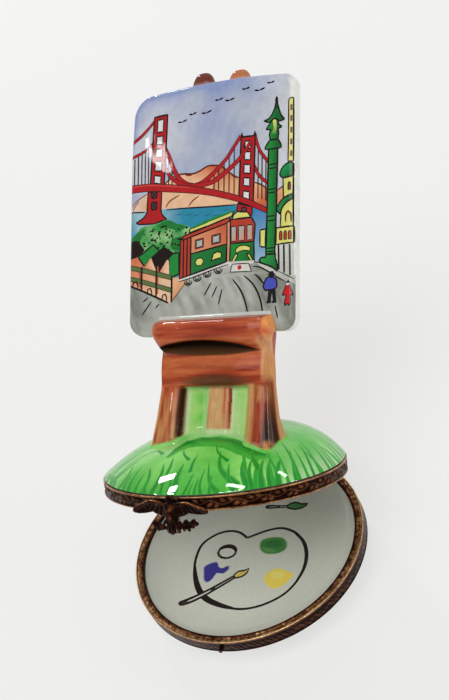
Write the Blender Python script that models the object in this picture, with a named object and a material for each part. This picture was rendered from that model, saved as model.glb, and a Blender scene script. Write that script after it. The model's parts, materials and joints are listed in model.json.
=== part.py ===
"""A hinged porcelain trinket box in the shape of a painter's easel.

The lid is a grass mound that carries the easel and its painted canvas. The base is a shallow oval
dish. Each half ends in a brass rim, the two rims share a hinge at the back, and a sprung clasp in
the shape of a bird hangs from the lid's rim at the front.

Units are metres, +Z is up. The origin is the centre of the flat foot, the clasp is at -Y and the
hinge is at +Y. Everything on the lid is modelled in the closed position, about the lid's pivot
empty, and the empty then opens it.
"""

import math

import bmesh
import bpy
from mathutils import Matrix, Vector

MM = 0.001

# Clearance between two pieces that touch or are luted together, and under a foot, whose face is
# flatter than the mound that it stands on.
GAP = 0.3 * MM
FOOT_GAP = 0.5 * MM

# The oval that both rims follow, and the seam between them.
BASE_HALF_WIDTH = 26.5 * MM
LID_HALF_WIDTH = 25.95 * MM
OVAL = 0.936
SEAM_Z = 9.0 * MM
RIM_SEGMENTS = 56

# The hinge, and how far the lid is open as modelled.
HINGE_Y = 26.15 * MM
HINGE_Z = 9.4 * MM
HINGE_HALF_LENGTH = 5.5 * MM
KNUCKLE_HALF_LENGTH = 1.8 * MM
KNUCKLE_RADIUS = 1.05 * MM
PIN_HOLE_RADIUS = 0.65 * MM
PIN_RADIUS = 0.38 * MM
OPEN_ANGLE = math.radians(36.0)

# The dish: a flat foot, a flared wall and a shallow floor.
FOOT_HALF_WIDTH = 21.6 * MM
FLOOR_Z = 3.4 * MM
BASE_RIM_HEIGHT = 3.6 * MM
RIM_WALL = 0.8 * MM
RIM_LEDGE = 2.0 * MM

# The mound: a flat-topped dome whose top leans to the back, with a low ridge before the easel.
MOUND_Z = 12.35 * MM
MOUND_HALF_WIDTH = LID_HALF_WIDTH - 0.3 * MM
MOUND_HEIGHT = 6.9 * MM
MOUND_POWER = 3.45
MOUND_LEAN = 4.4 * MM
MOUND_WALL = 1.9 * MM
RIDGE_HEIGHT = 0.7 * MM
RIDGE_X = 2.5 * MM
RIDGE_Y = -6.5 * MM
RIDGE_HALF_LENGTH = 9.0 * MM
RIDGE_HALF_DEPTH = 4.5 * MM
LID_RIM_HEIGHT = 2.9 * MM

# The easel's own frame: x across, depth away from the viewer, up along the canvas.
CANVAS_Y = -0.25 * MM
CANVAS_Z = 39.85 * MM
LEAN = math.radians(13.9)
CANVAS_WIDTH = 39.2 * MM
CANVAS_HEIGHT = 52.2 * MM
CANVAS_DEPTH = 3.2 * MM
STRETCHER_WIDTH = 4.2 * MM
PANEL_DEPTH = 1.4 * MM

# The legs converge from the block's centre at the foot to the mast's centre at the tips.
BLOCK_X = 1.2 * MM
MAST_X = 0.2 * MM
FOOT_UP = -23.0 * MM
TIP_UP = {"left": 57.2 * MM, "right": 56.5 * MM}
APRON_TOP = -4.0 * MM
APRON_BOTTOM = -11.3 * MM
APRON_HALF_WIDTH = 12.2 * MM
LEDGE_TOP = 2.3 * MM
LEDGE_BOTTOM = -3.6 * MM
LEDGE_HALF_WIDTH = 14.5 * MM
LEDGE_DEPTH = 4.0 * MM
CENTRE_POST_X = 2.6 * MM
CENTRE_POST_HALF_WIDTH = 2.5 * MM
CROSSBAR_UP = 26.0 * MM
PROP_X = 0.6 * MM
PROP_HALF_WIDTH = 1.8 * MM

# The clasp: a tongue on the lid's rim that straddles a stud on the base's rim.
CLASP_X = 2.6 * MM
CLASP_FACE_Y = -25.6 * MM
TONGUE_TOP_Z = 10.9 * MM
TONGUE_BOTTOM_Z = 5.5 * MM
TONGUE_HALF_WIDTH = 1.4 * MM
TONGUE_SLOT_HALF_WIDTH = 0.8 * MM
TONGUE_THICKNESS = 0.55 * MM
STUD_Z = 7.0 * MM
STUD_RADIUS = 0.42 * MM
BIRD_BACK_Y = -26.0 * MM
BIRD_THICKNESS = 1.5 * MM


# ---------------------------------------------------------------------------------------------
# Mesh helpers


def clear_scene():
    for obj in list(bpy.data.objects):
        bpy.data.objects.remove(obj, do_unlink=True)


def make_material(name, colour, roughness, metallic=0.0):
    material = bpy.data.materials.new(name)
    material.use_nodes = True
    shader = material.node_tree.nodes["Principled BSDF"]
    shader.inputs["Base Color"].default_value = (*colour, 1.0)
    shader.inputs["Roughness"].default_value = roughness
    shader.inputs["Metallic"].default_value = metallic
    material.diffuse_color = (*colour, 1.0)
    return material


def add_object(name, points, faces, material, parent=None, smooth_degrees=35.0):
    """A closed mesh with its faces turned outwards."""
    mesh = bpy.data.meshes.new(name)
    mesh.from_pydata([tuple(p) for p in points], [], faces)
    shell = bmesh.new()
    shell.from_mesh(mesh)
    bmesh.ops.recalc_face_normals(shell, faces=shell.faces)
    shell.to_mesh(mesh)
    shell.free()
    mesh.shade_smooth()
    mesh.set_sharp_from_angle(angle=math.radians(smooth_degrees))
    mesh.materials.append(material)
    obj = bpy.data.objects.new(name, mesh)
    bpy.context.scene.collection.objects.link(obj)
    obj.parent = parent
    return obj


def loft(name, rings, material, parent=None, smooth_degrees=35.0):
    """Joins rings of equal length in order, and closes the first and the last with a face."""
    count = len(rings[0])
    points = [p for ring in rings for p in ring]
    faces = []
    for k in range(len(rings) - 1):
        for i in range(count):
            j = (i + 1) % count
            faces.append((k * count + i, k * count + j, (k + 1) * count + j, (k + 1) * count + i))
    faces.append(tuple(range(count)))
    faces.append(tuple(range((len(rings) - 1) * count, len(rings) * count)))
    return add_object(name, points, faces, material, parent, smooth_degrees)


def oval_point(radius, z, angle):
    return Vector((radius * math.cos(angle), OVAL * radius * math.sin(angle), z))


def turned(name, profile, material, parent=None, place=oval_point, smooth_degrees=35.0):
    """Turns a profile of (radius, z) about Z. A profile that meets the axis at both ends makes a
    solid, and any other makes a ring with that section."""
    solid = profile[0][0] == 0.0 and profile[-1][0] == 0.0
    points = []
    rows = []
    for radius, z in profile:
        if radius == 0.0:
            rows.append([len(points)] * RIM_SEGMENTS)
            points.append(place(0.0, z, 0.0))
            continue
        rows.append([len(points) + i for i in range(RIM_SEGMENTS)])
        for i in range(RIM_SEGMENTS):
            points.append(place(radius, z, 2.0 * math.pi * i / RIM_SEGMENTS))
    if not solid:
        rows.append(rows[0])
    faces = []
    for low, high in zip(rows, rows[1:]):
        for i in range(RIM_SEGMENTS):
            j = (i + 1) % RIM_SEGMENTS
            corners = (low[i], low[j], high[j], high[i])
            faces.append(tuple(dict.fromkeys(corners)))
    return add_object(name, points, faces, material, parent, smooth_degrees)


def extruded(name, outline, y_near, y_far, material, parent=None):
    """Extrudes an outline of (x, z) along Y."""
    rings = [[Vector((x, y, z)) for x, z in outline] for y in (y_near, y_far)]
    return loft(name, rings, material, parent)


def rod(name, start, end, radius, sides, material, parent=None):
    """A straight round bar between two points."""
    axis = end - start
    turn = axis.to_track_quat("Z", "Y")
    rings = []
    for centre in (start, end):
        ring = []
        for i in range(sides):
            angle = 2.0 * math.pi * i / sides
            ring.append(centre + turn @ Vector((radius * math.cos(angle), radius * math.sin(angle), 0.0)))
        rings.append(ring)
    return loft(name, rings, material, parent)


def empty(name, location, turn_about_x, parent=None):
    obj = bpy.data.objects.new(name, None)
    obj.location = location
    obj.rotation_euler = (turn_about_x, 0.0, 0.0)
    obj.parent = parent
    bpy.context.scene.collection.objects.link(obj)
    return obj


def mirrored(outline, centre):
    """The same outline of (x, z) on the other side of x = centre."""
    return [(2.0 * centre - x, z) for x, z in outline]


# ---------------------------------------------------------------------------------------------
# The base


def build_base_dish(material):
    rim_inside = BASE_HALF_WIDTH - RIM_WALL - GAP
    mouth = BASE_HALF_WIDTH - RIM_LEDGE
    shoulder_z = SEAM_Z - 1.25 * MM
    profile = [
        (0.0, 0.0),
        (FOOT_HALF_WIDTH, 0.0),
        (FOOT_HALF_WIDTH + 0.5 * MM, 0.6 * MM),
        (FOOT_HALF_WIDTH + 1.9 * MM, 3.2 * MM),
        (rim_inside, 5.6 * MM),
        (rim_inside, shoulder_z),
        (mouth - 0.1 * MM, shoulder_z),
        (mouth - 0.5 * MM, 7.2 * MM),
        (mouth - 2.3 * MM, 5.6 * MM),
        (mouth - 5.5 * MM, 4.4 * MM),
        (mouth - 11.0 * MM, 3.7 * MM),
        (0.0, FLOOR_Z),
    ]
    turned("base_dish", profile, material)


def rim_section(half_width, bottom, top, ledge, ledge_at_top):
    """An L section: an upright wall outside, and a flat ledge that points inwards."""
    wall_inside = half_width - RIM_WALL
    inside = half_width - ledge
    ledge_thickness = 0.6 * MM
    edge = 0.2 * MM
    if ledge_at_top:
        return [
            (half_width - 2.0 * edge, bottom),
            (half_width, bottom + 6.0 * edge),
            (half_width, top - 2.0 * edge),
            (half_width - edge, top),
            (inside + edge, top),
            (inside, top - edge),
            (inside, top - ledge_thickness),
            (wall_inside, top - ledge_thickness),
            (wall_inside, bottom),
        ]
    return [
        (inside, bottom),
        (half_width - edge, bottom),
        (half_width, bottom + edge),
        (half_width, top - edge),
        (half_width - edge, top),
        (wall_inside, top),
        (wall_inside, bottom + ledge_thickness),
        (inside, bottom + ledge_thickness),
    ]


def build_base_rim(material):
    top = SEAM_Z - GAP / 2.0
    section = rim_section(BASE_HALF_WIDTH, top - BASE_RIM_HEIGHT, top, RIM_LEDGE, True)
    turned("base_rim", section, material)


def build_base_catch(material):
    rim_face_y = -OVAL * BASE_HALF_WIDTH
    start = Vector((CLASP_X, rim_face_y - GAP, STUD_Z))
    end = Vector((CLASP_X, CLASP_FACE_Y + 0.05 * MM, STUD_Z))
    rod("base_catch", start, end, STUD_RADIUS, 10, material)


# ---------------------------------------------------------------------------------------------
# The hinge


def leaf_section(points_up, leaf_length, leaf_thickness):
    """Outer and inner loops of a hinge leaf rolled round its pin, as (y, z) from the pin's axis."""
    sides = 16
    outer = []
    inner = []
    for i in range(sides):
        angle = 2.0 * math.pi * i / sides
        inner.append((PIN_HOLE_RADIUS * math.cos(angle), PIN_HOLE_RADIUS * math.sin(angle)))
        outer.append((KNUCKLE_RADIUS * math.cos(angle), KNUCKLE_RADIUS * math.sin(angle)))
    root = sides // 4 if points_up else 3 * sides // 4
    step = 1 if points_up else -1
    reach = leaf_length if points_up else -leaf_length
    outer[root] = (leaf_thickness - KNUCKLE_RADIUS, reach)
    outer[root + step] = (-KNUCKLE_RADIUS, reach)
    return outer, inner


def build_hinge_leaf(name, points_up, leaf_length, material, parent, origin):
    outer, inner = leaf_section(points_up, leaf_length, 0.6 * MM)
    count = len(outer)
    points = []
    for x in (-HINGE_HALF_LENGTH, HINGE_HALF_LENGTH):
        for y, z in outer + inner:
            points.append(Vector((x, y, z)) + origin)
    faces = []
    far = 2 * count
    for i in range(count):
        j = (i + 1) % count
        faces.append((i, j, far + j, far + i))
        faces.append((count + i, count + j, far + count + j, far + count + i))
        faces.append((i, j, count + j, count + i))
        faces.append((far + i, far + j, far + count + j, far + count + i))
    return add_object(name, points, faces, material, parent)


def cut_box(target, name, low, high, parent):
    """Takes a box out of the target."""
    corners = [(low.x, low.z), (high.x, low.z), (high.x, high.z), (low.x, high.z)]
    cutter = extruded(name, corners, low.y, high.y, target.data.materials[0], parent)
    cutter.hide_render = True
    cutter.display_type = "WIRE"
    modifier = target.modifiers.new(name, "BOOLEAN")
    modifier.operation = "DIFFERENCE"
    modifier.solver = "EXACT"
    modifier.object = cutter


def build_hinge(brass, steel, lid_pivot):
    axis = Vector((0.0, HINGE_Y, HINGE_Z))
    clearance = KNUCKLE_RADIUS + GAP
    base_leaf = build_hinge_leaf("hinge_base_leaf", False, 3.9 * MM, brass, None, axis)
    middle = KNUCKLE_HALF_LENGTH + GAP
    cut_box(
        base_leaf,
        "cut_for_lid_knuckle",
        axis + Vector((-middle, -2.0 * clearance, -clearance)),
        axis + Vector((middle, 2.0 * clearance, 2.0 * clearance)),
        None,
    )
    lid_leaf = build_hinge_leaf("hinge_lid_leaf", True, 2.6 * MM, brass, lid_pivot, Vector())
    for side, label in ((-1.0, "left"), (1.0, "right")):
        near = side * KNUCKLE_HALF_LENGTH
        far = side * 2.0 * HINGE_HALF_LENGTH
        cut_box(
            lid_leaf,
            "cut_for_base_knuckle_" + label,
            Vector((min(near, far), -2.0 * clearance, -2.0 * clearance)),
            Vector((max(near, far), 2.0 * clearance, clearance)),
            lid_pivot,
        )
    overhang = 0.35 * MM
    start = axis - Vector((HINGE_HALF_LENGTH + overhang, 0.0, 0.0))
    end = axis + Vector((HINGE_HALF_LENGTH + overhang, 0.0, 0.0))
    rod("hinge_pin", start, end, PIN_RADIUS, 10, steel)


# ---------------------------------------------------------------------------------------------
# The lid's rim and mound


def ridge(x, y):
    """Height of the low ridge of grass in front of the easel's feet."""
    along = (x - RIDGE_X) / RIDGE_HALF_LENGTH
    across = (y - RIDGE_Y) / RIDGE_HALF_DEPTH
    return RIDGE_HEIGHT * math.exp(-(along**4) - across * across)


def mound_point(radius, z, angle):
    """Places a point of the mound's profile: higher points lean back, and the ridge is added."""
    rise = min(max((z - MOUND_Z) / MOUND_HEIGHT, 0.0), 1.0)
    point = oval_point(radius, z, angle)
    point.y += MOUND_LEAN * rise
    point.z += ridge(point.x, point.y) * min(2.0 * rise, 1.0)
    return point


def mound_top(x, y):
    """Height of the mound's surface over a point of the closed lid's plan."""
    rise = 1.0
    for _ in range(12):
        across = x / MOUND_HALF_WIDTH
        along = (y - MOUND_LEAN * rise) / (OVAL * MOUND_HALF_WIDTH)
        rise = 1.0 - min(math.hypot(across, along), 1.0) ** MOUND_POWER
    return MOUND_Z + MOUND_HEIGHT * rise + ridge(x, y) * min(2.0 * rise, 1.0)


def build_lid_mound(material, closed_lid):
    outer_shares = (0.12, 0.26, 0.4, 0.53, 0.65, 0.76, 0.85, 0.92, 0.97, 1.0)
    inner_shares = (1.0, 0.93, 0.83, 0.68, 0.5, 0.25)
    skirt_radius = LID_HALF_WIDTH - RIM_WALL - GAP
    skirt_bottom = SEAM_Z + GAP / 2.0 + 0.9 * MM
    inner_radius = skirt_radius - MOUND_WALL
    profile = [(0.0, MOUND_Z + MOUND_HEIGHT)]
    for share in outer_shares:
        profile.append((MOUND_HALF_WIDTH * share, MOUND_Z + MOUND_HEIGHT * (1.0 - share**MOUND_POWER)))
    profile.append((skirt_radius, MOUND_Z - 0.1 * MM))
    profile.append((skirt_radius, skirt_bottom))
    profile.append((inner_radius, skirt_bottom))
    inner_height = MOUND_HEIGHT - MOUND_WALL
    for share in inner_shares:
        profile.append((inner_radius * share, MOUND_Z + inner_height * (1.0 - share**MOUND_POWER)))
    profile.append((0.0, MOUND_Z + inner_height))
    turned("lid_mound", profile, material, closed_lid, mound_point)


def build_lid_rim(material, closed_lid):
    bottom = SEAM_Z + GAP / 2.0
    section = rim_section(LID_HALF_WIDTH, bottom, bottom + LID_RIM_HEIGHT, RIM_LEDGE, False)
    turned("lid_rim", section, material, closed_lid)


# ---------------------------------------------------------------------------------------------
# The easel and its canvas. Points here are (x, depth, up) in the easel's own frame.


def foot_up(x, depth):
    """How far down the easel's frame a foot reaches before it stands just clear of the mound."""
    low = -40.0 * MM
    high = 0.0
    for _ in range(40):
        up = (low + high) / 2.0
        y = CANVAS_Y + depth * math.cos(LEAN) + up * math.sin(LEAN)
        z = CANVAS_Z + up * math.cos(LEAN) - depth * math.sin(LEAN)
        if z > mound_top(x, y) + FOOT_GAP:
            high = up
        else:
            low = up
    return high


def standing_ring(outline):
    """A ring of (x, depth) points, each set down on the mound."""
    return [Vector((x, depth, foot_up(x, depth))) for x, depth in outline]


def flat_ring(outline, up):
    return [Vector((x, depth, up)) for x, depth in outline]


def bar_outline(inner, outer, front, back, edge, taper):
    """An upright's section with eased corners, narrower at the back by the taper."""
    out = math.copysign(1.0, outer - inner)
    return [
        (inner + out * edge, front),
        (outer - out * edge, front),
        (outer, front + edge),
        (outer - out * taper, back - edge),
        (outer - out * (taper + edge), back),
        (inner + out * edge, back),
        (inner, back - edge),
        (inner, front + edge),
    ]


def leg_centre(up):
    """The easel's middle at a height, from the block's at the feet to the mast's at the canvas's top."""
    share = (up - FOOT_UP) / (CANVAS_HEIGHT - FOOT_UP)
    return BLOCK_X + share * (MAST_X - BLOCK_X)


def build_leg(label, side, material, easel):
    """One long leg of the frame: a foot on the mound, a run behind the canvas and a domed tip."""
    behind = CANVAS_DEPTH + GAP
    tip = TIP_UP[label] / MM
    stations = (
        # up, inner edge, outer edge, front, back, eased edge, taper at the back
        (-17.0, 8.3, 13.4, -1.1, 5.2, 0.5, 0.4),
        (-11.5, 8.1, 12.9, -0.2, 4.8, 0.5, 0.8),
        (-4.3, 7.9, 12.5, 0.0, 5.0, 0.5, 1.4),
        (-0.4, 7.6, 12.1, 0.0, 5.6, 0.5, 1.4),
        (-0.3, 7.6, 12.1, behind / MM, 6.2, 0.5, 0.5),
        (26.0, 4.8, 9.6, behind / MM, 6.2, 0.5, 0.3),
        (tip - 3.9, 1.9, 7.0, behind / MM, 6.3, 0.6, 0.3),
        (tip - 1.7, 2.1, 6.8, 3.7, 6.2, 0.7, 0.3),
        (tip - 0.5, 2.8, 6.1, 4.1, 5.8, 0.6, 0.2),
        (tip, 3.6, 5.3, 4.6, 5.3, 0.2, 0.1),
    )
    foot_outline = bar_outline(
        BLOCK_X + side * 8.5 * MM, BLOCK_X + side * 14.0 * MM, -2.0 * MM, 5.9 * MM, 0.6 * MM, 0.3 * MM
    )
    rings = [standing_ring(foot_outline)]
    for up, inner, outer, front, back, edge, taper in stations:
        centre = leg_centre(up * MM)
        outline = bar_outline(
            centre + side * inner * MM,
            centre + side * outer * MM,
            front * MM,
            back * MM,
            edge * MM,
            taper * MM,
        )
        rings.append(flat_ring(outline, up * MM))
    loft("leg_" + label, rings, material, easel)


def build_easel_web(material, easel):
    """The thin wall between the legs. Its foot follows the mound, so it is lofted along x."""
    stations = 9
    inner = 7.6 * MM - GAP
    rings = []
    for i in range(stations):
        x = BLOCK_X - inner + 2.0 * inner * i / (stations - 1)
        foot = foot_up(x, -0.2 * MM)
        back_foot = foot_up(x, 5.0 * MM)
        rings.append([
            Vector((x, 1.2 * MM, -0.4 * MM)),
            Vector((x, 1.2 * MM, APRON_BOTTOM)),
            Vector((x, -0.2 * MM, foot)),
            Vector((x, 5.0 * MM, back_foot)),
            Vector((x, 3.4 * MM, APRON_BOTTOM)),
            Vector((x, 3.4 * MM, -0.4 * MM)),
        ])
    loft("easel_web", rings, material, easel)


def build_centre_post(material, easel):
    """The middle upright, a raised strip on the web."""
    left = CENTRE_POST_X - CENTRE_POST_HALF_WIDTH
    right = CENTRE_POST_X + CENTRE_POST_HALF_WIDTH
    foot = bar_outline(left - 0.2 * MM, right + 0.2 * MM, -1.3 * MM, -0.5 * MM, 0.3 * MM, 0.1 * MM)
    top = bar_outline(left, right, 0.1 * MM, 0.9 * MM, 0.3 * MM, 0.1 * MM)
    rings = [standing_ring(foot), flat_ring(top, APRON_BOTTOM), flat_ring(top, -0.4 * MM)]
    loft("centre_post", rings, material, easel)


def build_apron(material, easel):
    """The rail across the legs, bowed to the front."""
    stations = 9
    height = APRON_TOP - APRON_BOTTOM
    rings = []
    for i in range(stations):
        share = 2.0 * i / (stations - 1) - 1.0
        x = BLOCK_X + APRON_HALF_WIDTH * share
        bow = (0.5 + 1.0 * (1.0 - share * share)) * MM
        section = ((0.0, 0.0), (0.55, 0.04), (0.95, 0.25), (1.0, 0.5), (0.9, 0.8), (0.5, 0.97), (0.0, 1.0))
        rings.append([Vector((x, -GAP - bow * out, APRON_TOP - height * down)) for out, down in section])
    loft("apron", rings, material, easel)


def build_canvas_ledge(material, easel):
    """The thick ledge that the canvas stands behind: a moulding that narrows to the apron below."""
    stations = (
        # up, less on the half length at the back, at the front, depth
        (LEDGE_BOTTOM, 2.5, 3.7, 2.0),
        (-2.7 * MM, 1.7, 3.0, 3.3),
        (-1.3 * MM, 0.7, 2.1, 3.9),
        (0.4 * MM, 0.0, 1.5, LEDGE_DEPTH / MM),
        (1.6 * MM, 0.1, 1.6, 3.8),
        (LEDGE_TOP, 0.8, 2.2, 3.0),
    )
    rings = []
    for up, back_loss, front_loss, depth in stations:
        back = LEDGE_HALF_WIDTH - back_loss * MM
        front = LEDGE_HALF_WIDTH - front_loss * MM
        nose = -depth * MM
        half = [(back, -GAP), (back - 0.1 * MM, -GAP + nose * 0.35), (front + 0.4 * MM, nose * 0.8), (front - 0.5 * MM, nose)]
        outline = half + [(-x, depth_at) for x, depth_at in reversed(half)]
        rings.append([Vector((BLOCK_X + x, depth_at, up)) for x, depth_at in outline])
    loft("canvas_ledge", rings, material, easel)


def canvas_outline(inset):
    """The canvas's outline of (x, up) with its corners rounded, moved in by the inset."""
    half = CANVAS_WIDTH / 2.0 - inset
    low = inset
    high = CANVAS_HEIGHT - inset
    corners = (
        # x sign, up, radius, first angle
        (1.0, low, 2.6 * MM, -90.0),
        (1.0, high, 2.4 * MM, 0.0),
        (-1.0, high, 4.2 * MM, 90.0),
        (-1.0, low, 3.6 * MM, 180.0),
    )
    steps = 4
    outline = []
    for sign, up, radius, first in corners:
        eased = max(radius - inset, 0.4 * MM)
        centre_x = sign * (half - eased)
        centre_up = up + eased if up == low else up - eased
        for i in range(steps + 1):
            angle = math.radians(first + 90.0 * i / steps)
            outline.append((centre_x + eased * math.cos(angle), centre_up + eased * math.sin(angle)))
    return outline


def build_canvas(material, easel):
    """A stretched canvas: a thin panel, and a deeper border behind it where the stretcher runs."""
    layers = (
        # inset, depth
        (0.45 * MM, 0.0),
        (0.1 * MM, 0.2 * MM),
        (0.0, 0.6 * MM),
        (0.0, CANVAS_DEPTH - 0.4 * MM),
        (0.4 * MM, CANVAS_DEPTH),
        (STRETCHER_WIDTH, CANVAS_DEPTH),
        (STRETCHER_WIDTH + 0.3 * MM, PANEL_DEPTH),
    )
    rings = []
    for inset, depth in layers:
        rings.append([Vector((x, depth, up)) for x, up in canvas_outline(inset)])
    loft("canvas", rings, material, easel)


def build_crossbar(material, easel):
    """The bar behind the canvas that ties the two legs and carries the prop."""
    front = 6.3 * MM + GAP
    back = front + 2.0 * MM
    rings = []
    for along in (-9.2 * MM, 9.2 * MM):
        x = leg_centre(CROSSBAR_UP) + along
        ring = []
        for depth, up in (
            (front, -1.9), (back - 0.4 * MM, -1.9), (back, -1.5), (back, 1.5), (back - 0.4 * MM, 1.9), (front, 1.9)
        ):
            ring.append(Vector((x, depth, CROSSBAR_UP + up * MM)))
        rings.append(ring)
    loft("back_crossbar", rings, material, easel)


def build_prop(material, easel):
    """The third leg, from the crossbar down to the back of the mound."""
    top_depth = 6.3 * MM + 2.0 * GAP + 2.0 * MM
    top_up = CROSSBAR_UP + 2.4 * MM
    left = PROP_X - PROP_HALF_WIDTH
    right = PROP_X + PROP_HALF_WIDTH
    foot = bar_outline(left - 0.3 * MM, right + 0.3 * MM, 19.6 * MM, 22.8 * MM, 0.4 * MM, 0.0)
    top = bar_outline(left, right, top_depth, top_depth + 2.4 * MM, 0.4 * MM, 0.0)
    rings = [standing_ring(foot), flat_ring(top, CROSSBAR_UP - 2.0 * MM), flat_ring(top, top_up)]
    loft("back_prop", rings, material, easel)


# ---------------------------------------------------------------------------------------------
# The clasp. Outlines here are (x, z) on the closed lid, in millimetres from the clasp's centre line.


def clasp_outline(points):
    return [(CLASP_X + x * MM, z * MM) for x, z in points]


def build_clasp_anchor(material, closed_lid):
    """The small block on the lid's rim that the tongue springs from."""
    outline = clasp_outline([(-1.4, 11.2), (1.4, 11.2), (1.4, 11.9), (1.0, 12.2), (-1.0, 12.2), (-1.4, 11.9)])
    rim_face_y = -OVAL * LID_HALF_WIDTH
    extruded("clasp_anchor", outline, CLASP_FACE_Y, rim_face_y - GAP, material, closed_lid)


def build_clasp(material, closed_clasp):
    top = TONGUE_TOP_Z / MM
    bottom = TONGUE_BOTTOM_Z / MM
    slot_top = (STUD_Z + STUD_RADIUS) / MM + 0.4
    half = TONGUE_HALF_WIDTH / MM
    slot = TONGUE_SLOT_HALF_WIDTH / MM
    fork = clasp_outline([
        (-half, bottom), (-slot, bottom), (-slot, slot_top), (slot, slot_top), (slot, bottom), (half, bottom),
        (half, top - 0.4), (half - 0.4, top), (0.4 - half, top), (-half, top - 0.4),
    ])
    extruded("clasp_tongue", fork, CLASP_FACE_Y, CLASP_FACE_Y + TONGUE_THICKNESS, material, closed_clasp)

    body = clasp_outline([
        (-0.5, 12.7), (0.5, 12.7), (0.9, 12.0), (0.8, 11.3), (1.5, 10.5), (1.6, 8.8), (1.0, 7.4),
        (1.2, 6.0), (0.5, 5.3), (-0.5, 5.3), (-1.2, 6.0), (-1.0, 7.4), (-1.6, 8.8), (-1.5, 10.5), (-0.8, 11.3),
        (-0.9, 12.0),
    ])
    front = BIRD_BACK_Y - BIRD_THICKNESS
    extruded("clasp_bird", body, front, BIRD_BACK_Y, material, closed_clasp)

    wing = clasp_outline([
        (1.95, 9.2), (3.6, 8.5), (6.0, 9.0), (8.3, 9.4), (7.0, 10.4), (4.6, 11.2), (2.6, 11.3), (1.95, 10.6),
    ])
    wing_front = BIRD_BACK_Y - 1.1 * MM
    extruded("clasp_wing_right", wing, wing_front, BIRD_BACK_Y, material, closed_clasp)
    extruded("clasp_wing_left", mirrored(wing, CLASP_X), wing_front, BIRD_BACK_Y, material, closed_clasp)

    sprig = clasp_outline([(1.6, 7.0), (2.4, 6.5), (4.4, 6.9), (5.9, 7.6), (5.4, 8.1), (3.2, 7.8), (1.7, 7.9)])
    sprig_back = BIRD_BACK_Y - 0.2 * MM
    sprig_front = BIRD_BACK_Y - 1.2 * MM
    extruded("clasp_branch", sprig, sprig_front, sprig_back, material, closed_clasp)
    darts = clasp_outline([(-1.6, 6.8), (-2.6, 6.2), (-4.6, 6.3), (-4.5, 7.3), (-2.8, 7.6), (-1.7, 7.7)])
    extruded("clasp_arrows", darts, sprig_front, sprig_back, material, closed_clasp)


# ---------------------------------------------------------------------------------------------


def main():
    clear_scene()
    white_porcelain = make_material("white_porcelain", (0.86, 0.88, 0.87), 0.12)
    green_porcelain = make_material("green_porcelain", (0.12, 0.5, 0.08), 0.12)
    pale_green = make_material("pale_green_porcelain", (0.38, 0.68, 0.25), 0.12)
    wood_paint = make_material("wood_painted_porcelain", (0.42, 0.13, 0.05), 0.12)
    tan_paint = make_material("tan_painted_porcelain", (0.62, 0.3, 0.13), 0.12)
    rim_brass = make_material("antique_brass", (0.16, 0.09, 0.05), 0.38, 1.0)
    clasp_brass = make_material("dark_brass", (0.1, 0.05, 0.03), 0.35, 1.0)
    steel = make_material("pin_steel", (0.45, 0.42, 0.4), 0.3, 1.0)

    pivot = Vector((0.0, HINGE_Y, HINGE_Z))
    lid_pivot = empty("lid_pivot", pivot, -OPEN_ANGLE)
    # Children of closed_lid keep the coordinates that they have when the lid is closed.
    closed_lid = empty("closed_lid", -pivot, 0.0, lid_pivot)
    easel = empty("easel_frame", (0.0, CANVAS_Y, CANVAS_Z), -LEAN, closed_lid)
    clasp_axis = Vector((CLASP_X, CLASP_FACE_Y + TONGUE_THICKNESS / 2.0, TONGUE_TOP_Z))
    clasp_pivot = empty("clasp_pivot", clasp_axis, 0.0, closed_lid)
    closed_clasp = empty("closed_clasp", -clasp_axis, 0.0, clasp_pivot)

    build_base_dish(white_porcelain)
    build_base_rim(rim_brass)
    build_base_catch(rim_brass)
    build_hinge(rim_brass, steel, lid_pivot)
    build_lid_rim(rim_brass, closed_lid)
    build_lid_mound(green_porcelain, closed_lid)
    build_leg("left", -1.0, wood_paint, easel)
    build_leg("right", 1.0, wood_paint, easel)
    build_easel_web(pale_green, easel)
    build_centre_post(tan_paint, easel)
    build_apron(wood_paint, easel)
    build_canvas_ledge(wood_paint, easel)
    build_canvas(white_porcelain, easel)
    build_crossbar(tan_paint, easel)
    build_prop(wood_paint, easel)
    build_clasp_anchor(clasp_brass, closed_lid)
    build_clasp(clasp_brass, closed_clasp)


main()
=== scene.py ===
"""The looks of the hinged porcelain box: glaze, painting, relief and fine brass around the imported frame."""

import itertools
import json
import math

import bmesh
import bpy
import numpy as np
from mathutils import Matrix, Vector, noise
from mathutils.geometry import delaunay_2d_cdt


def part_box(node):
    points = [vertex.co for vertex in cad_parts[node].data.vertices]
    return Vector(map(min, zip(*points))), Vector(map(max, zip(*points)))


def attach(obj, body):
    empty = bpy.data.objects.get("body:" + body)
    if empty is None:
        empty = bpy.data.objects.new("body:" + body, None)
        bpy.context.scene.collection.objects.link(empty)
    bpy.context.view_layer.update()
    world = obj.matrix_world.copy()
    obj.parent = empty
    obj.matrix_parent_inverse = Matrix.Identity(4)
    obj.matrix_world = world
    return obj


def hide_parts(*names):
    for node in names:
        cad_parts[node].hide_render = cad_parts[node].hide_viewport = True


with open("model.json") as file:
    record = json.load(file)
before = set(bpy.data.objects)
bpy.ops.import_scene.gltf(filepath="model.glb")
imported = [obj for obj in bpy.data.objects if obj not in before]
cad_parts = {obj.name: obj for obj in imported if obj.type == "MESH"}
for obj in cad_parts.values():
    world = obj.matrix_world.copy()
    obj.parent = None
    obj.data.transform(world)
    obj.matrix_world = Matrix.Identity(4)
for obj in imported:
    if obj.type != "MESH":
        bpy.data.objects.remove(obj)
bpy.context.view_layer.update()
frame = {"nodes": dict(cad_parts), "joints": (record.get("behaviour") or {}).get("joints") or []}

MM = 0.001

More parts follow.
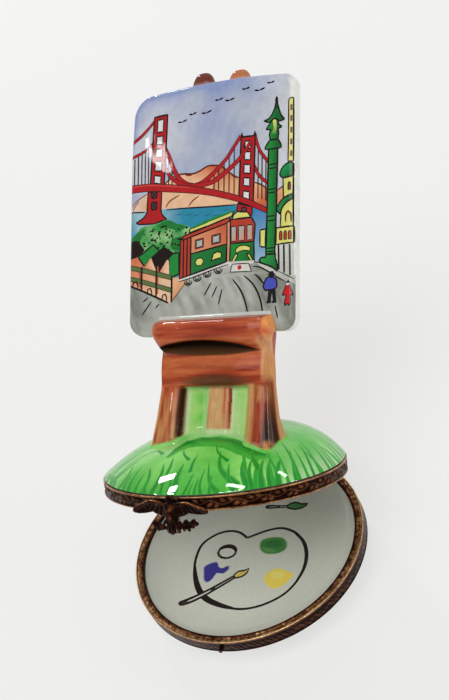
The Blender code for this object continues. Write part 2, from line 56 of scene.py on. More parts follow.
# The frame's driving sizes, in millimetres. Every outline below is in millimetres too.
base_low, base_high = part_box("base_rim")
BASE_HALF = (base_high.x - base_low.x) / 2.0 / MM
OVAL = (base_high.y - base_low.y) / (base_high.x - base_low.x)
BASE_RIM_BOTTOM = base_low.z / MM
BASE_RIM_TOP = base_high.z / MM
LID_HALF = (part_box("lid_rim")[1].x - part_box("lid_rim")[0].x) / 2.0 / MM
SEAM = 9.0
LID_RIM_BOTTOM = SEAM + 0.15
LID_RIM_TOP = LID_RIM_BOTTOM + 2.9
DISH_FLOOR = 3.4
MOUTH_HALF = BASE_HALF - 2.0

joints = {joint["name"]: joint for joint in frame["joints"]}
HINGE = Vector(joints["lid_hinge"]["pos_m"])
OPEN = -math.radians(joints["lid_hinge"]["range_deg"][0])

MOUND_Z = 12.35
MOUND_HALF = LID_HALF - 0.3
MOUND_HEIGHT = 6.9
MOUND_POWER = 3.45
MOUND_LEAN = 4.4
MOUND_WALL = 1.9
SKIRT_BOTTOM = 10.1
RIDGE = {"height": 0.7, "x": 2.5, "y": -6.5, "half_length": 9.0, "half_depth": 4.5}

CANVAS_Y = -0.25
CANVAS_Z = 39.85
LEAN = math.radians(13.9)
CANVAS_HALF = 19.6
CANVAS_TALL = 52.2
CANVAS_DEEP = 3.2
BLOCK_X = 1.2
MAST_X = 0.2
FOOT_UP = -23.0
CLASP_X = 2.6

# Where each local frame stands: the base is the world, the lid's is the closed lid swung open.
BASE = Matrix.Identity(4)
LID = Matrix.Translation(HINGE) @ Matrix.Rotation(-OPEN, 4, "X") @ Matrix.Translation(-HINGE)
EASEL = LID @ Matrix.Translation((0.0, CANVAS_Y * MM, CANVAS_Z * MM)) @ Matrix.Rotation(-LEAN, 4, "X")


# ---------------------------------------------------------------------------------------------
# Colours and materials


def paint(code):
    """A linear colour from a six-digit screen colour."""
    channels = np.array([int(code[i:i + 2], 16) / 255.0 for i in (0, 2, 4)])
    return np.where(channels <= 0.04045, channels / 12.92, ((channels + 0.055) / 1.055) ** 2.4)


WHITE = paint("e9ebe6")
INK = paint("1d1214")

# The clear glaze: how sharp its reflections are, how strong, and how deep its unevenness in metres.
GLAZE_ROUGHNESS = 0.025
GLAZE_IOR = 1.36
GLAZE_WAVE = 0.000008


def set_inputs(node, inputs):
    """Sets a node's inputs by name, with an underscore for each space."""
    for name, value in inputs.items():
        node.inputs[name.replace("_", " ")].default_value = value


def add_node(tree, kind, **inputs):
    node = tree.nodes.new(kind)
    set_inputs(node, inputs)
    return node


def noise_of(tree, scale, detail, roughness=0.5, stretch=(1.0, 1.0, 1.0)):
    """A noise in the piece's own space, squeezed by a factor along each axis."""
    place = tree.nodes.new("ShaderNodeTexCoord")
    squeeze = add_node(tree, "ShaderNodeMapping", Scale=stretch)
    pattern = add_node(tree, "ShaderNodeTexNoise", Scale=scale, Detail=detail, Roughness=roughness)
    tree.links.new(place.outputs["Object"], squeeze.inputs["Vector"])
    tree.links.new(squeeze.outputs["Vector"], pattern.inputs["Vector"])
    return pattern.outputs["Fac"]


def varied(tree, colour, scale, low, high, stretch=(1.0, 1.0, 1.0)):
    """The colour times a noise that runs between low and high: pigment lying thick and thin."""
    spread = add_node(tree, "ShaderNodeMapRange", From_Min=0.3, From_Max=0.7, To_Min=low, To_Max=high)
    tint = tree.nodes.new("ShaderNodeVectorMath")
    tint.operation = "SCALE"
    tree.links.new(noise_of(tree, scale, 4.0, 0.6, stretch), spread.inputs["Value"])
    tree.links.new(colour, tint.inputs[0])
    tree.links.new(spread.outputs["Result"], tint.inputs["Scale"])
    return tint.outputs["Vector"]


def ripples(tree, scale, distance, detail=2.0):
    """A gently uneven surface: the normal of a noise bump."""
    bump = add_node(tree, "ShaderNodeBump", Strength=1.0, Distance=distance)
    tree.links.new(noise_of(tree, scale, detail), bump.inputs["Height"])
    return bump.outputs["Normal"]


def painted(tree, output="Color"):
    source = tree.nodes.new("ShaderNodeAttribute")
    source.attribute_name = "paint"
    return source.outputs[output]


def new_material(name, **inputs):
    """A material, its node tree and its shader, with the shader's inputs set."""
    material = bpy.data.materials.new(name)
    material.use_nodes = True
    tree = material.node_tree
    shader = tree.nodes["Principled BSDF"]
    set_inputs(shader, inputs)
    return material, tree, shader


def glazed(name, stretch=(1.0, 1.0, 1.0), scale=900.0, low=0.9, high=1.08):
    """Paint under a clear glaze, whose weight is the paint's alpha."""
    material, tree, shader = new_material(
        name, Roughness=0.5, Specular_IOR_Level=0.0, Coat_Roughness=GLAZE_ROUGHNESS, Coat_IOR=GLAZE_IOR)
    tree.links.new(painted(tree, "Alpha"), shader.inputs["Coat Weight"])
    colour = varied(tree, painted(tree), scale, low, high, stretch)
    tree.links.new(colour, shader.inputs["Base Color"])
    tree.links.new(ripples(tree, 260.0, GLAZE_WAVE), shader.inputs["Coat Normal"])
    return material


def brass(name, roughness=0.34, grain=6000.0):
    """Patinated brass: the paint attribute runs from the dark hollows to the rubbed high spots."""
    material, tree, shader = new_material(name, Metallic=1.0, Roughness=roughness)
    colour = varied(tree, painted(tree), 2600.0, 0.45, 1.65)
    tree.links.new(colour, shader.inputs["Base Color"])
    tree.links.new(ripples(tree, grain, 0.00002, 3.0), shader.inputs["Normal"])
    return material


# ---------------------------------------------------------------------------------------------
# Mesh helpers


def place_mesh(name, mesh, domain, colours, place, body, material, gloss=1.0):
    """Stands a mesh in its frame on its body. Colour and gloss go into the paint attribute."""
    layer = mesh.attributes.new("paint", "FLOAT_COLOR", domain)
    rgba = np.ones((len(layer.data), 4))
    rgba[:, :3] = colours
    rgba[:, 3] = gloss
    layer.data.foreach_set("color", rgba.ravel())
    mesh.materials.clear()
    mesh.materials.append(material)
    obj = bpy.data.objects.new(name, mesh)
    bpy.context.scene.collection.objects.link(obj)
    obj.matrix_world = place
    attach(obj, body)
    return obj


def new_mesh(name, points, faces):
    """A smooth-shaded mesh from points in millimetres."""
    mesh = bpy.data.meshes.new(name)
    mesh.from_pydata((np.asarray(points, float) * MM).tolist(), [],
                     [tuple(int(i) for i in face) for face in faces])
    mesh.shade_smooth()
    return mesh


def face_outwards(mesh):
    """Turns a closed mesh's faces outwards."""
    shell = bmesh.new()
    shell.from_mesh(mesh)
    bmesh.ops.recalc_face_normals(shell, faces=shell.faces)
    shell.to_mesh(mesh)
    shell.free()


def settle(obj):
    """Moves a piece's turn and shift from its matrix into its mesh, as the CAD nodes have theirs."""
    bpy.context.view_layer.update()
    obj.data.transform(obj.matrix_world)
    obj.matrix_world = Matrix.Identity(4)


def unit(value):
    return np.clip(value, 0.0, 1.0)


def mix(first, second, share):
    return first * (1.0 - share) + second * share


def smooth_path(points, closed=False, step=0.5):
    """A Catmull-Rom curve through the points, with a point about every step."""
    points = np.asarray(points, float)
    count = len(points)
    spans = count if closed else count - 1
    path = []
    for i in range(spans):
        if closed:
            a, b, c, d = (points[(i + k) % count] for k in (-1, 0, 1, 2))
        else:
            a, b, c, d = (points[min(max(i + k, 0), count - 1)] for k in (-1, 0, 1, 2))
        pieces = max(1, int(np.linalg.norm(c - b) / step))
        for j in range(pieces):
            t = j / pieces
            path.append(0.5 * (2 * b + (c - a) * t + (2 * a - 5 * b + 4 * c - d) * t**2
                               + (3 * b - a - 3 * c + d) * t**3))
    if not closed:
        path.append(points[-1])
    return np.array(path)


def unit_circle(count):
    angles = np.linspace(0.0, 2.0 * math.pi, count, endpoint=False)
    return np.stack([np.cos(angles), np.sin(angles)], 1)


def arc_of(centre, radii, first, last, count, closed=False):
    """Points on an ellipse, from one angle to another in half turns."""
    return [(centre[0] + radii[0] * math.cos(math.pi * turn),
             centre[1] + radii[1] * math.sin(math.pi * turn))
            for turn in np.linspace(first, last, count, not closed)]


def ribbon(path, half_widths):
    """The outline of a brush stroke along a path."""
    path = np.asarray(path, float)
    along = np.gradient(path, axis=0)
    along /= np.linalg.norm(along, axis=1)[:, None] + 1e-9
    side = np.stack([-along[:, 1], along[:, 0]], 1) * np.asarray(half_widths)[:, None]
    return np.concatenate([path + side, (path - side)[::-1]])


def inside(points, outline):
    """Which points a closed outline winds round."""
    low = outline.min(0)
    high = outline.max(0)
    near = np.flatnonzero(((points >= low) & (points <= high)).all(1))
    winding = np.zeros(len(near), int)
    x, y = points[near, 0], points[near, 1]
    ends = np.roll(outline, -1, axis=0)
    for (x0, y0), (x1, y1) in zip(outline, ends):
        if y0 == y1:
            continue
        side = (x1 - x0) * (y - y0) - (x - x0) * (y1 - y0)
        winding += ((y0 <= y) & (y1 > y) & (side > 0)).astype(int)
        winding -= ((y0 > y) & (y1 <= y) & (side < 0)).astype(int)
    mask = np.zeros(len(points), bool)
    mask[near] = winding != 0
    return mask


def plain(colour):
    return lambda spots: np.tile(colour, (len(spots), 1))


def wash(first, second, start, end):
    """A colour that runs from the first at one point to the second at another."""
    start = np.asarray(start, float)
    run = np.asarray(end, float) - start

    def shade(spots):
        share = unit(((spots - start) @ run) / (run @ run))[:, None]
        return mix(first, second, share)

    return shade


class Picture:
    """Paint laid in layers on a flat outline, which is then cut into triangles along every edge."""

    def __init__(self, ground):
        self.layers = []
        self.ground = ground

    def add(self, outline, colour):
        """Lays an outline of one colour, or of a wash, over the layers so far."""
        self.layers.append((outline, colour if callable(colour) else plain(colour)))

    def area(self, points, colour, smooth=False):
        self.add(smooth_path(points, True, 0.5) if smooth else np.asarray(points, float), colour)

    def line(self, points, width=0.3, colour=INK, smooth=True, tail=0.4):
        path = smooth_path(points, False, 0.6 if smooth else 3.0)
        if len(path) < 4:
            path = np.linspace(path[0], path[-1], 4)
        along = np.linspace(0.0, 1.0, len(path))
        swell = tail + (1.0 - tail) * np.sin(math.pi * along) ** 0.5
        self.add(ribbon(path, 0.72 * width * swell), colour)

    def band(self, points, widths, colour, edge=0.0, smooth=True):
        """A wide stroke with its own width at each point, and an inked edge if asked."""
        path = smooth_path(points, False, 0.6) if smooth else np.asarray(points, float)
        given = np.linspace(0.0, 1.0, len(widths))
        half = np.interp(np.linspace(0.0, 1.0, len(path)), given, widths) / 2.0
        if edge:
            self.add(ribbon(path, half + edge), INK)
        self.add(ribbon(path, half), colour)

    def framed(self, points, colour, width=0.28, smooth=False):
        """An area with an ink line round it."""
        self.area(points, colour, smooth)
        loop = smooth_path(points, True, 0.6) if smooth else np.asarray(points, float)
        ends = np.roll(loop, -1, axis=0)
        if smooth:
            self.line(np.concatenate([loop, loop[:1]]), width, smooth=False, tail=1.0)
        else:
            for first, second in zip(loop, ends):
                self.line([first, second], width, smooth=False, tail=0.75)

    def cut(self, outline, insets, spacing):
        """Points, triangles and corner colours of the painted sheet."""
        points = []
        edges = []

        def add_loop(loop):
            first = len(points)
            points.extend(Vector(p) for p in loop)
            edges.extend((first + i, first + (i + 1) % len(loop)) for i in range(len(loop)))

        add_loop(outline)
        for loop in insets:
            add_loop(loop)
        for layer, _ in self.layers:
            add_loop(layer)
        low = outline.min(0)
        high = outline.max(0)
        rows = np.arange(low[1], high[1], spacing * 0.87)
        for k, up in enumerate(rows):
            across = np.arange(low[0] + (k % 2) * spacing / 2.0, high[0], spacing)
            row = np.stack([across, np.full(len(across), up)], 1)
            points.extend(Vector(p) for p in row[inside(row, outline)])
        corners, _, triangles, *_ = delaunay_2d_cdt(points, edges, [], 0, 1e-4, False)
        corners = np.array([tuple(c) for c in corners])
        triangles = np.array([tuple(t) for t in triangles])
        middles = corners[triangles].mean(1)
        kept = inside(middles, outline)
        triangles = triangles[kept]
        middles = middles[kept]
        a, b, c = (corners[triangles[:, k]] for k in range(3))
        turn = (b[:, 0] - a[:, 0]) * (c[:, 1] - a[:, 1]) - (b[:, 1] - a[:, 1]) * (c[:, 0] - a[:, 0])
        triangles[turn < 0] = triangles[turn < 0][:, ::-1]
        spots = corners[triangles].reshape(-1, 2)
        colours = self.ground(spots)
        for layer, shade in self.layers:
            covered = np.repeat(inside(middles, layer), 3)
            if covered.any():
                colours[covered] = shade(spots[covered])
        return corners, triangles, colours


def rim_of(triangles):
    """The open edge of a sheet of triangles, as one loop of points in order."""
    after = {}
    seen = set()
    for a, b, c in triangles:
        for edge in ((a, b), (b, c), (c, a)):
            seen.add(edge)
    for a, b in seen:
        if (b, a) not in seen:
            after[a] = b
    start = next(iter(after))
    loop = [start]
    while after[loop[-1]] != start:
        loop.append(after[loop[-1]])
    return loop


class Shell:
    """A painted sheet, carried on by rings of points that turn it into a closed body."""

    def __init__(self, surface, cut, rest):
        self.spots, triangles, colours = cut
        self.points = surface(self.spots).tolist()
        self.faces = [tuple(t) for t in triangles]
        self.colours = colours.tolist()
        self.rest = rest
        self.loop = rim_of(triangles)
        self.last = self.loop

    def add_ring(self, ring):
        """Joins a ring of points, one for each point of the sheet's rim, to the ring before it."""
        first = len(self.points)
        self.points.extend(ring)
        current = list(range(first, first + len(self.loop)))
        for i in range(len(self.loop)):
            j = (i + 1) % len(self.loop)
            self.faces.append((self.last[j], self.last[i], current[i], current[j]))
            self.colours.extend([self.rest] * 4)
        self.last = current

    def close(self, name, place, body, material, backwards=True):
        """Caps the last ring and makes the piece."""
        self.faces.append(tuple(reversed(self.last)) if backwards else tuple(self.last))
        self.colours.extend([self.rest] * len(self.last))
        mesh = new_mesh(name, self.points, self.faces)
        return place_mesh(name, mesh, "CORNER", self.colours, place, body, material)


def set_normals(piece, smooth):
    """Gives a piece's first points the normals of the surface they lie on, and leaves the rest averaged."""
    averaged = [tuple(n.vector) for n in piece.data.vertex_normals]
    piece.data.normals_split_custom_set_from_vertices(smooth.tolist() + averaged[len(smooth):])


def surface_normals(surface, spots, step=0.02):
    """Normals of a surface given as a function of flat points."""
    across = surface(spots + [step, 0.0]) - surface(spots - [step, 0.0])
    along = surface(spots + [0.0, step]) - surface(spots - [0.0, step])
    normals = np.cross(across, along)
    return normals / (np.linalg.norm(normals, axis=1)[:, None] + 1e-12)


def soft_noise(spots, scale, seed=0.0):
    return np.array([noise.noise(Vector((x * scale, y * scale, seed))) for x, y in spots])


# ---------------------------------------------------------------------------------------------
# The painting on the canvas: (across, up) from the middle of the canvas's lower edge

SKY_BLUE = paint("8f9ecb")
SKY_GREY = paint("bcc2ce")
SKY_PALE = paint("dcdde0")
RED = paint("b41d22")
DARK_RED = paint("6e1315")
TAN = paint("eab184")
RUST = paint("d0653f")
SEA = paint("2d8bab")
SEA_PALE = paint("9cc3cf")
LEAF = paint("2f9444")
LEAF_PALE = paint("96c888")
BLACK_ROOF = paint("1c0f0e")
PAINT_GREEN = paint("1f8c3a")
DEEP_GREEN = paint("12652b")
YELLOW = paint("dedb78")
SALMON = paint("dd8a63")
BRICK = paint("b8402c")
STREET = paint("bcc0b8")
STREET_DARK = paint("7f827a")
STREET_PALE = paint("d0d3cc")
GLASS = paint("b3b2ae")
OLIVE = paint("5d7542")
CHARCOAL = paint("17151a")
PLUM = paint("6d2a26")
UMBER_LINE = paint("5d2316")
WALL_LIT = paint("efc7a4")
WALL_SHADE = paint("d97a52")
DOME_GREEN = paint("1c9a55")
PANE = paint("5a4442")


def sky_ground(spots):
    """Lavender sky, thicker at the top and left, thin and grey towards the lower right, with a painted
    reflection of a broad light as pale patches round the left tower.
    """
    across, up = spots[:, 0], spots[:, 1]
    drift = soft_noise(spots, 0.12, 3.0)
    # Painted reflection: the pale patches round the top of the left tower and beside it stand for a broad
    # light mirrored in the glaze.
    left = np.exp(-(((across + 12.5) / 7.0) ** 2) - ((up - 44.0) / 7.0) ** 2)
    low_left_reflection = np.exp(-(((across + 17.4) / 2.8) ** 2) - ((up - 36.5) / 6.0) ** 2)
    rim = unit(1.0 - edge_distance(spots) / 1.6) * (across < 5.0) * unit((up - 38.0) / 6.0)
    blue = unit(0.5 + 0.03 * (up - 40.0) - 0.015 * across + 0.9 * drift + 0.6 * rim)[:, None]
    pale = unit((across - 8.0) / 10.0 + 0.4 * drift)
    pale = np.maximum(pale, unit(1.3 * left + 1.2 * low_left_reflection - 0.9 * rim))[:, None]
    sky = SKY_BLUE * blue + SKY_GREY * (1.0 - blue)
    sky = sky * (1.0 - 0.7 * pale) + SKY_PALE * 0.7 * pale
    bare = unit((across - 18.4) / 0.7)[:, None]
    return mix(sky, WHITE, bare)


def paint_hills(art):
    shore = [(7.5, 26.3), (0.0, 26.8), (-10.0, 27.3), (-13.0, 27.2)]
    ridge_line = [(-13.0, 31.5), (-10.3, 33.3), (-8.2, 34.2), (-6.4, 34.3), (-4.0, 34.1), (-2.2, 34.6),
                  (-0.6, 35.3), (1.4, 35.2), (2.9, 34.8), (4.6, 33.4), (6.2, 32.3), (7.5, 31.8)]
    tan = wash(paint("cf5c34"), paint("efc09a"), (0.5, 35.3), (-1.6, 31.0))
    art.area(smooth_path(ridge_line).tolist() + shore, tan)
    art.area([(2.4, 34.9), (4.6, 33.4), (7.5, 31.8), (7.5, 27.0), (0.5, 30.0), (0.9, 32.0)],
             wash(paint("c2522f"), paint("e9ab7f"), (3.0, 34.8), (4.4, 30.5)))
    art.line(ridge_line, 0.26, UMBER_LINE)
    for fold in ([(-7.4, 29.9), (-8.9, 29.3), (-10.2, 28.6), (-10.9, 27.4)],
                 [(-2.6, 29.2), (-4.2, 28.3), (-5.2, 27.2)],
                 [(-6.5, 34.3), (-5.6, 33.9), (-4.4, 33.8)],
                 [(2.6, 34.8), (4.2, 33.8), (5.6, 32.4), (6.6, 31.9)]):
        art.line(fold, 0.22, paint("7a2f1c"))
    left_hill = [(-19.8, 28.2), (-18.6, 29.5), (-17.0, 30.5), (-15.4, 31.2), (-15.4, 27.3), (-19.8, 27.4)]
    art.area(left_hill, wash(TAN, SKY_PALE, (-16.0, 28.0), (-19.5, 30.0)))
    art.line([(-19.5, 27.9), (-18.6, 29.2), (-17.0, 30.4), (-15.5, 31.0)], 0.2, paint("8a4a30"))
    art.line([(-19.0, 27.5), (-18.5, 28.6), (-17.6, 29.6)], 0.18, paint("8a4a30"))
    art.area([(10.4, 30.6), (12.2, 29.9), (13.8, 28.6), (13.8, 25.0), (10.4, 26.2)],
             wash(TAN, RUST, (11.0, 30.0), (13.5, 27.0)))
    art.line([(10.5, 30.6), (12.2, 29.9), (13.7, 28.7)], 0.24, UMBER_LINE)
    art.area([(15.7, 28.4), (17.4, 29.2), (17.4, 26.0), (15.7, 25.2)],
             wash(SALMON, TAN, (15.7, 26.0), (17.4, 29.0)))
    art.line([(15.8, 28.3), (16.6, 28.6), (17.3, 29.2)], 0.22, UMBER_LINE)


def paint_water(art):
    top = [(-19.8, 27.4), (-16.0, 27.3), (-10.0, 27.1), (-5.0, 26.9), (0.0, 26.7), (6.8, 26.3),
           (13.6, 25.4)]
    sea = wash(SEA_PALE, SEA, (-14.5, 26.0), (-6.5, 25.5))
    art.area(top + [(13.6, 12.0), (-19.8, 12.0)], sea)
    art.area([(-19.8, 27.2), (-17.2, 27.2), (-18.0, 24.0), (-17.6, 20.0), (-19.8, 19.0)],
             wash(SEA, SEA_PALE, (-19.8, 23.0), (-17.2, 24.0)))
    art.area([(10.4, 26.0), (13.6, 24.6), (13.6, 13.0), (10.8, 14.0)],
             wash(paint("3f7fb6"), paint("8fb6cf"), (11.0, 25.0), (12.5, 15.0)))
    art.line([(-10.8, 27.0), (-6.0, 26.9), (0.0, 26.6), (6.4, 26.4)], 0.24)
    art.line([(-19.6, 27.3), (-16.2, 27.0)], 0.22)
    for k in range(7):
        start = -8.5 + 2.3 * k
        art.line([(start, 25.6 - 0.25 * k % 1.1), (start + 2.0, 25.75 - 0.25 * k % 1.1)], 0.16,
                 paint("1f6f93"))


def paint_tower(art, left_top, right_top, left_foot, right_foot, leg, panes):
    """A bridge tower as two red legs, red crossings and pale panes between them."""
    art.framed([left_foot, right_foot, right_top, left_top], RED)
    for low, high in panes:
        corners = []
        for edge, share in (("l", low), ("r", low), ("r", high), ("l", high)):
            side_foot, side_top = (left_foot, left_top) if edge == "l" else (right_foot, right_top)
            x = side_foot[0] + (side_top[0] - side_foot[0]) * share
            y = side_foot[1] + (side_top[1] - side_foot[1]) * share
            corners.append((x + (leg if edge == "l" else -leg), y))
        art.framed(corners, SKY_PALE, 0.22)


def paint_bridge(art):
    """A generic red suspension bridge."""
    hangers = [(-18.7, 39.0), (-17.9, 39.5), (-17.1, 39.9), (-16.3, 40.4), (-15.5, 40.9), (-10.3, 38.3),
               (-9.4, 36.2),
               (1.0, 33.6), (2.1, 34.6), (3.4, 35.7), (4.6, 36.9), (5.8, 38.4), (11.4, 38.0), (12.3, 36.2),
               (13.2, 35.1)]
    for x, top in hangers:
        deck = 33.1 if x < -12 else 32.4 + (x + 10.0) * -0.2 - max(x, 0.0) * 0.09
        art.line([(x, top), (x, deck)], 0.2, paint("34191b"), tail=0.9)
    cables = (
        ([(-19.9, 42.3), (-17.3, 43.9), (-14.0, 46.6)], (0.55, 0.5, 0.4)),
        ([(-19.9, 39.2), (-17.0, 40.2), (-14.3, 41.9)], (0.5, 0.45, 0.4)),
        ([(-11.3, 40.6), (-10.2, 38.4), (-9.0, 35.6), (-7.6, 33.4), (-5.6, 31.9), (-4.2, 31.5)],
         (0.6, 0.9, 1.0)),
        ([(-11.7, 37.6), (-10.4, 34.9), (-8.8, 33.2), (-6.6, 32.0), (-4.6, 31.4)], (0.5, 0.7, 0.8)),
        ([(-4.6, 31.4), (-2.2, 31.8), (0.0, 33.0), (2.4, 34.9), (4.2, 36.6), (5.8, 38.7), (7.4, 40.7)],
         (0.9, 0.8, 0.6, 0.6)),
        ([(-3.6, 31.2), (0.4, 31.8), (3.0, 33.0), (5.4, 34.6), (7.6, 36.5), (9.8, 39.4)],
         (0.9, 0.9, 0.7, 0.5)),
        ([(10.6, 40.6), (11.2, 38.4), (12.1, 36.5), (13.8, 34.4)], (0.5, 0.5)),
        ([(10.4, 34.2), (11.3, 32.4), (12.4, 31.1), (13.8, 30.0)], (0.5, 0.5)),
    )
    for path, widths in cables[:5] + cables[6:]:
        art.band(path, widths, RED, 0.13)
    paint_tower(art, (-14.1, 47.4), (-10.7, 47.5), (-15.0, 32.6), (-11.4, 32.2), 0.95,
                ((0.04, 0.15), (0.22, 0.36), (0.42, 0.54), (0.6, 0.72), (0.78, 0.95)))
    paint_tower(art, (7.4, 40.4), (10.7, 40.3), (6.9, 26.6), (10.3, 26.2), 0.95,
                ((0.07, 0.18), (0.26, 0.38), (0.45, 0.58), (0.65, 0.77), (0.82, 0.93)))
    for x in (7.6, 10.6):
        art.framed([(x - 0.25, 40.3), (x + 0.25, 40.3), (x, 41.3)], BLACK_ROOF, 0.15)
    art.line([(7.9, 38.7), (8.6, 37.4), (9.4, 38.9)], 0.3)
    path, widths = cables[5]
    art.band(path, widths, RED, 0.13)
    pier = smooth_path([(-15.5, 31.4), (-15.7, 28.0), (-15.8, 26.9), (-16.6, 25.8), (-18.2, 24.9)])
    pier_right = smooth_path([(-10.6, 25.0), (-11.6, 25.8), (-12.1, 26.8), (-12.1, 28.0), (-12.0, 31.2)])
    foot = [(-18.2, 24.9), (-17.6, 24.5), (-14.0, 24.3), (-10.6, 25.0)]
    art.framed(pier.tolist() + foot + pier_right.tolist(), RED, 0.26)
    for up in (30.7, 28.2):
        art.framed([(-14.6, up - 0.8), (-13.3, up - 0.8), (-13.3, up + 0.8), (-14.6, up + 0.8)], PANE, 0.25)
        art.line([(-14.5, up - 0.7), (-13.4, up + 0.7)], 0.18)
        art.line([(-14.5, up + 0.7), (-13.4, up - 0.7)], 0.18)
    art.framed([(6.6, 26.6), (10.1, 25.6), (10.0, 23.8), (6.5, 23.9)], RED, 0.22)
    art.framed([(7.6, 25.7), (8.7, 25.5), (8.7, 24.4), (7.6, 24.6)], PANE, 0.2)
    art.band([(-19.9, 32.4), (-15.0, 32.3), (-10.0, 31.6), (-5.0, 30.8), (0.0, 29.7), (5.0, 28.2),
              (9.0, 26.7), (13.8, 24.3)],
                 (1.5, 1.5, 1.45, 1.4, 1.2, 1.1, 1.0, 0.8), RED, 0.16)
    art.line([(-19.8, 32.9), (-15.0, 32.8), (-10.0, 32.1), (-5.0, 31.2)], 0.24, paint("cf4440"))


def paint_gulls(art):
    """A few birds along the sky."""
    for x, y, size in ((-7.0, 45.4, 1.0), (-4.4, 46.6, 0.8), (-1.0, 46.4, 1.15), (2.0, 48.5, 0.85),
                       (4.6, 48.1, 1.0),
                       (8.4, 49.8, 0.8), (11.6, 49.2, 1.1), (14.2, 50.4, 0.75)):
        art.line([(x - 1.1 * size, y + 0.1 * size), (x - 0.6 * size, y + 0.55 * size), (x, y)], 0.26)
        art.line([(x, y), (x + 0.6 * size, y + 0.6 * size), (x + 1.2 * size, y + 0.35 * size)], 0.26)


def paint_lamp(art):
    """A tall green lamp post with a tiered roof."""
    green = wash(PAINT_GREEN, DEEP_GREEN, (14.2, 30.0), (15.6, 30.0))
    base = smooth_path([(13.3, 16.0), (13.2, 14.9), (12.2, 15.0), (11.7, 14.3), (12.3, 13.8), (14.4, 13.0),
                        (15.9, 11.9)])
    art.framed(base.tolist() + [(15.8, 13.4), (15.4, 14.6), (15.3, 16.0)],
               wash(paint("2fa04a"), DEEP_GREEN, (12.5, 15.0), (15.8, 12.5)))
    art.framed([(13.25, 15.5), (13.5, 24.0), (13.8, 37.4), (15.9, 37.4), (15.6, 24.0), (15.25, 15.5)],
               green, 0.3)
    for up, shift in ((16.0, 0.0), (16.7, 0.0), (22.3, 0.1), (23.2, 0.1), (28.0, 0.25), (28.7, 0.25),
                      (33.0, 0.4), (33.8, 0.4)):
        art.line([(13.35 + shift, up), (15.3 + shift, up + 0.05)], 0.22)
    art.framed([(12.9, 37.4), (13.2, 37.0), (16.6, 37.0), (16.7, 37.5), (15.9, 39.0), (14.1, 39.0)], green,
               0.26)
    art.framed(smooth_path([(14.2, 38.9), (13.9, 40.2), (14.3, 41.0), (13.2, 41.2), (14.0, 42.2),
                            (14.5, 42.9)]).tolist()
                   + smooth_path([(16.0, 42.8), (16.0, 42.0), (16.8, 41.3), (15.9, 41.0), (16.1, 40.2),
                                  (15.9, 38.9)]).tolist(), green, 0.26)
    art.area([(14.7, 43.0), (14.9, 41.2), (14.5, 40.2), (15.4, 39.9), (15.6, 41.2), (15.5, 43.0)],
             wash(YELLOW, PAINT_GREEN, (15.1, 42.5), (15.0, 39.9)))
    spire_left = smooth_path([(15.6, 47.4), (15.3, 45.8), (14.6, 44.2), (13.8, 43.3), (12.7, 43.0)])
    spire_right = smooth_path([(17.4, 42.8), (16.6, 43.7), (16.2, 44.8), (15.8, 46.0), (15.6, 47.4)])
    art.framed(spire_left.tolist() + [(13.9, 42.5), (15.1, 43.3), (16.3, 42.5)] + spire_right.tolist(),
               green, 0.28)
    art.line([(15.6, 47.6), (15.55, 46.0)], 0.5)
    art.line([(15.1, 45.4), (15.9, 45.3)], 0.22)


def paint_right_buildings(art):
    """A yellow tower with a green dome, an arched roof, and a shop front with railings."""
    art.framed([(18.2, 34.0), (18.3, 40.0), (18.3, 46.6), (18.8, 47.0), (19.3, 47.0), (19.3, 34.0)],
               YELLOW, 0.22)
    for up in (45.0, 42.8, 40.4, 38.0, 35.6):
        art.area([(18.65, up - 0.6), (19.1, up - 0.6), (19.1, up + 0.6), (18.65, up + 0.6)], PLUM)
    art.framed([(17.3, 24.0), (17.1, 30.8), (19.3, 31.0), (19.3, 24.0)], YELLOW, 0.24)
    art.framed([(18.2, 28.2), (18.8, 28.2), (18.8, 29.6), (18.5, 29.9), (18.2, 29.6)], PLUM, 0.12)
    dome = smooth_path([(17.2, 30.7), (16.4, 31.3), (16.6, 32.3), (17.4, 33.3), (18.5, 33.8), (19.3, 33.6)])
    art.framed(dome.tolist() + [(19.3, 31.0)], wash(DOME_GREEN, DEEP_GREEN, (17.0, 33.0), (18.8, 31.0)),
               0.28)
    art.framed([(16.5, 20.8), (16.7, 24.4), (17.6, 25.6), (19.3, 26.6), (19.3, 20.8)], YELLOW, 0.22)
    roof = smooth_path([(15.6, 24.4), (16.2, 25.6), (17.4, 26.7), (19.3, 27.4)])
    under = smooth_path([(19.3, 26.4), (17.8, 25.6), (16.9, 24.6), (16.4, 23.4)])
    art.framed(roof.tolist() + under.tolist(), wash(DOME_GREEN, DEEP_GREEN, (16.5, 26.5), (18.0, 25.5)),
               0.26)
    arch = smooth_path([(17.7, 21.6), (17.7, 23.0), (18.2, 23.9), (18.8, 23.4), (18.9, 21.6)])
    art.line(arch, 0.3, DARK_RED, smooth=False)
    art.framed([(11.9, 17.2), (11.9, 20.6), (13.2, 20.7), (13.1, 17.0)], YELLOW, 0.24)
    art.framed([(15.5, 17.3), (15.6, 20.7), (19.4, 20.8), (19.4, 17.5)], YELLOW, 0.26)
    for x in (16.3, 17.3, 18.3):
        art.framed([(x, 18.2), (x + 0.6, 18.2), (x + 0.6, 19.7), (x + 0.3, 20.0), (x, 19.7)], BRICK, 0.15)
    art.area([(15.4, 17.2), (15.6, 12.2), (19.4, 10.4), (19.4, 17.3)],
             wash(STREET_PALE, STREET, (16.0, 17.0), (18.5, 11.0)))
    for x, low in ((16.1, 12.2), (17.3, 11.5), (18.6, 10.9)):
        art.line([(x, 17.2), (x + 0.1, low)], 0.3, tail=0.9)


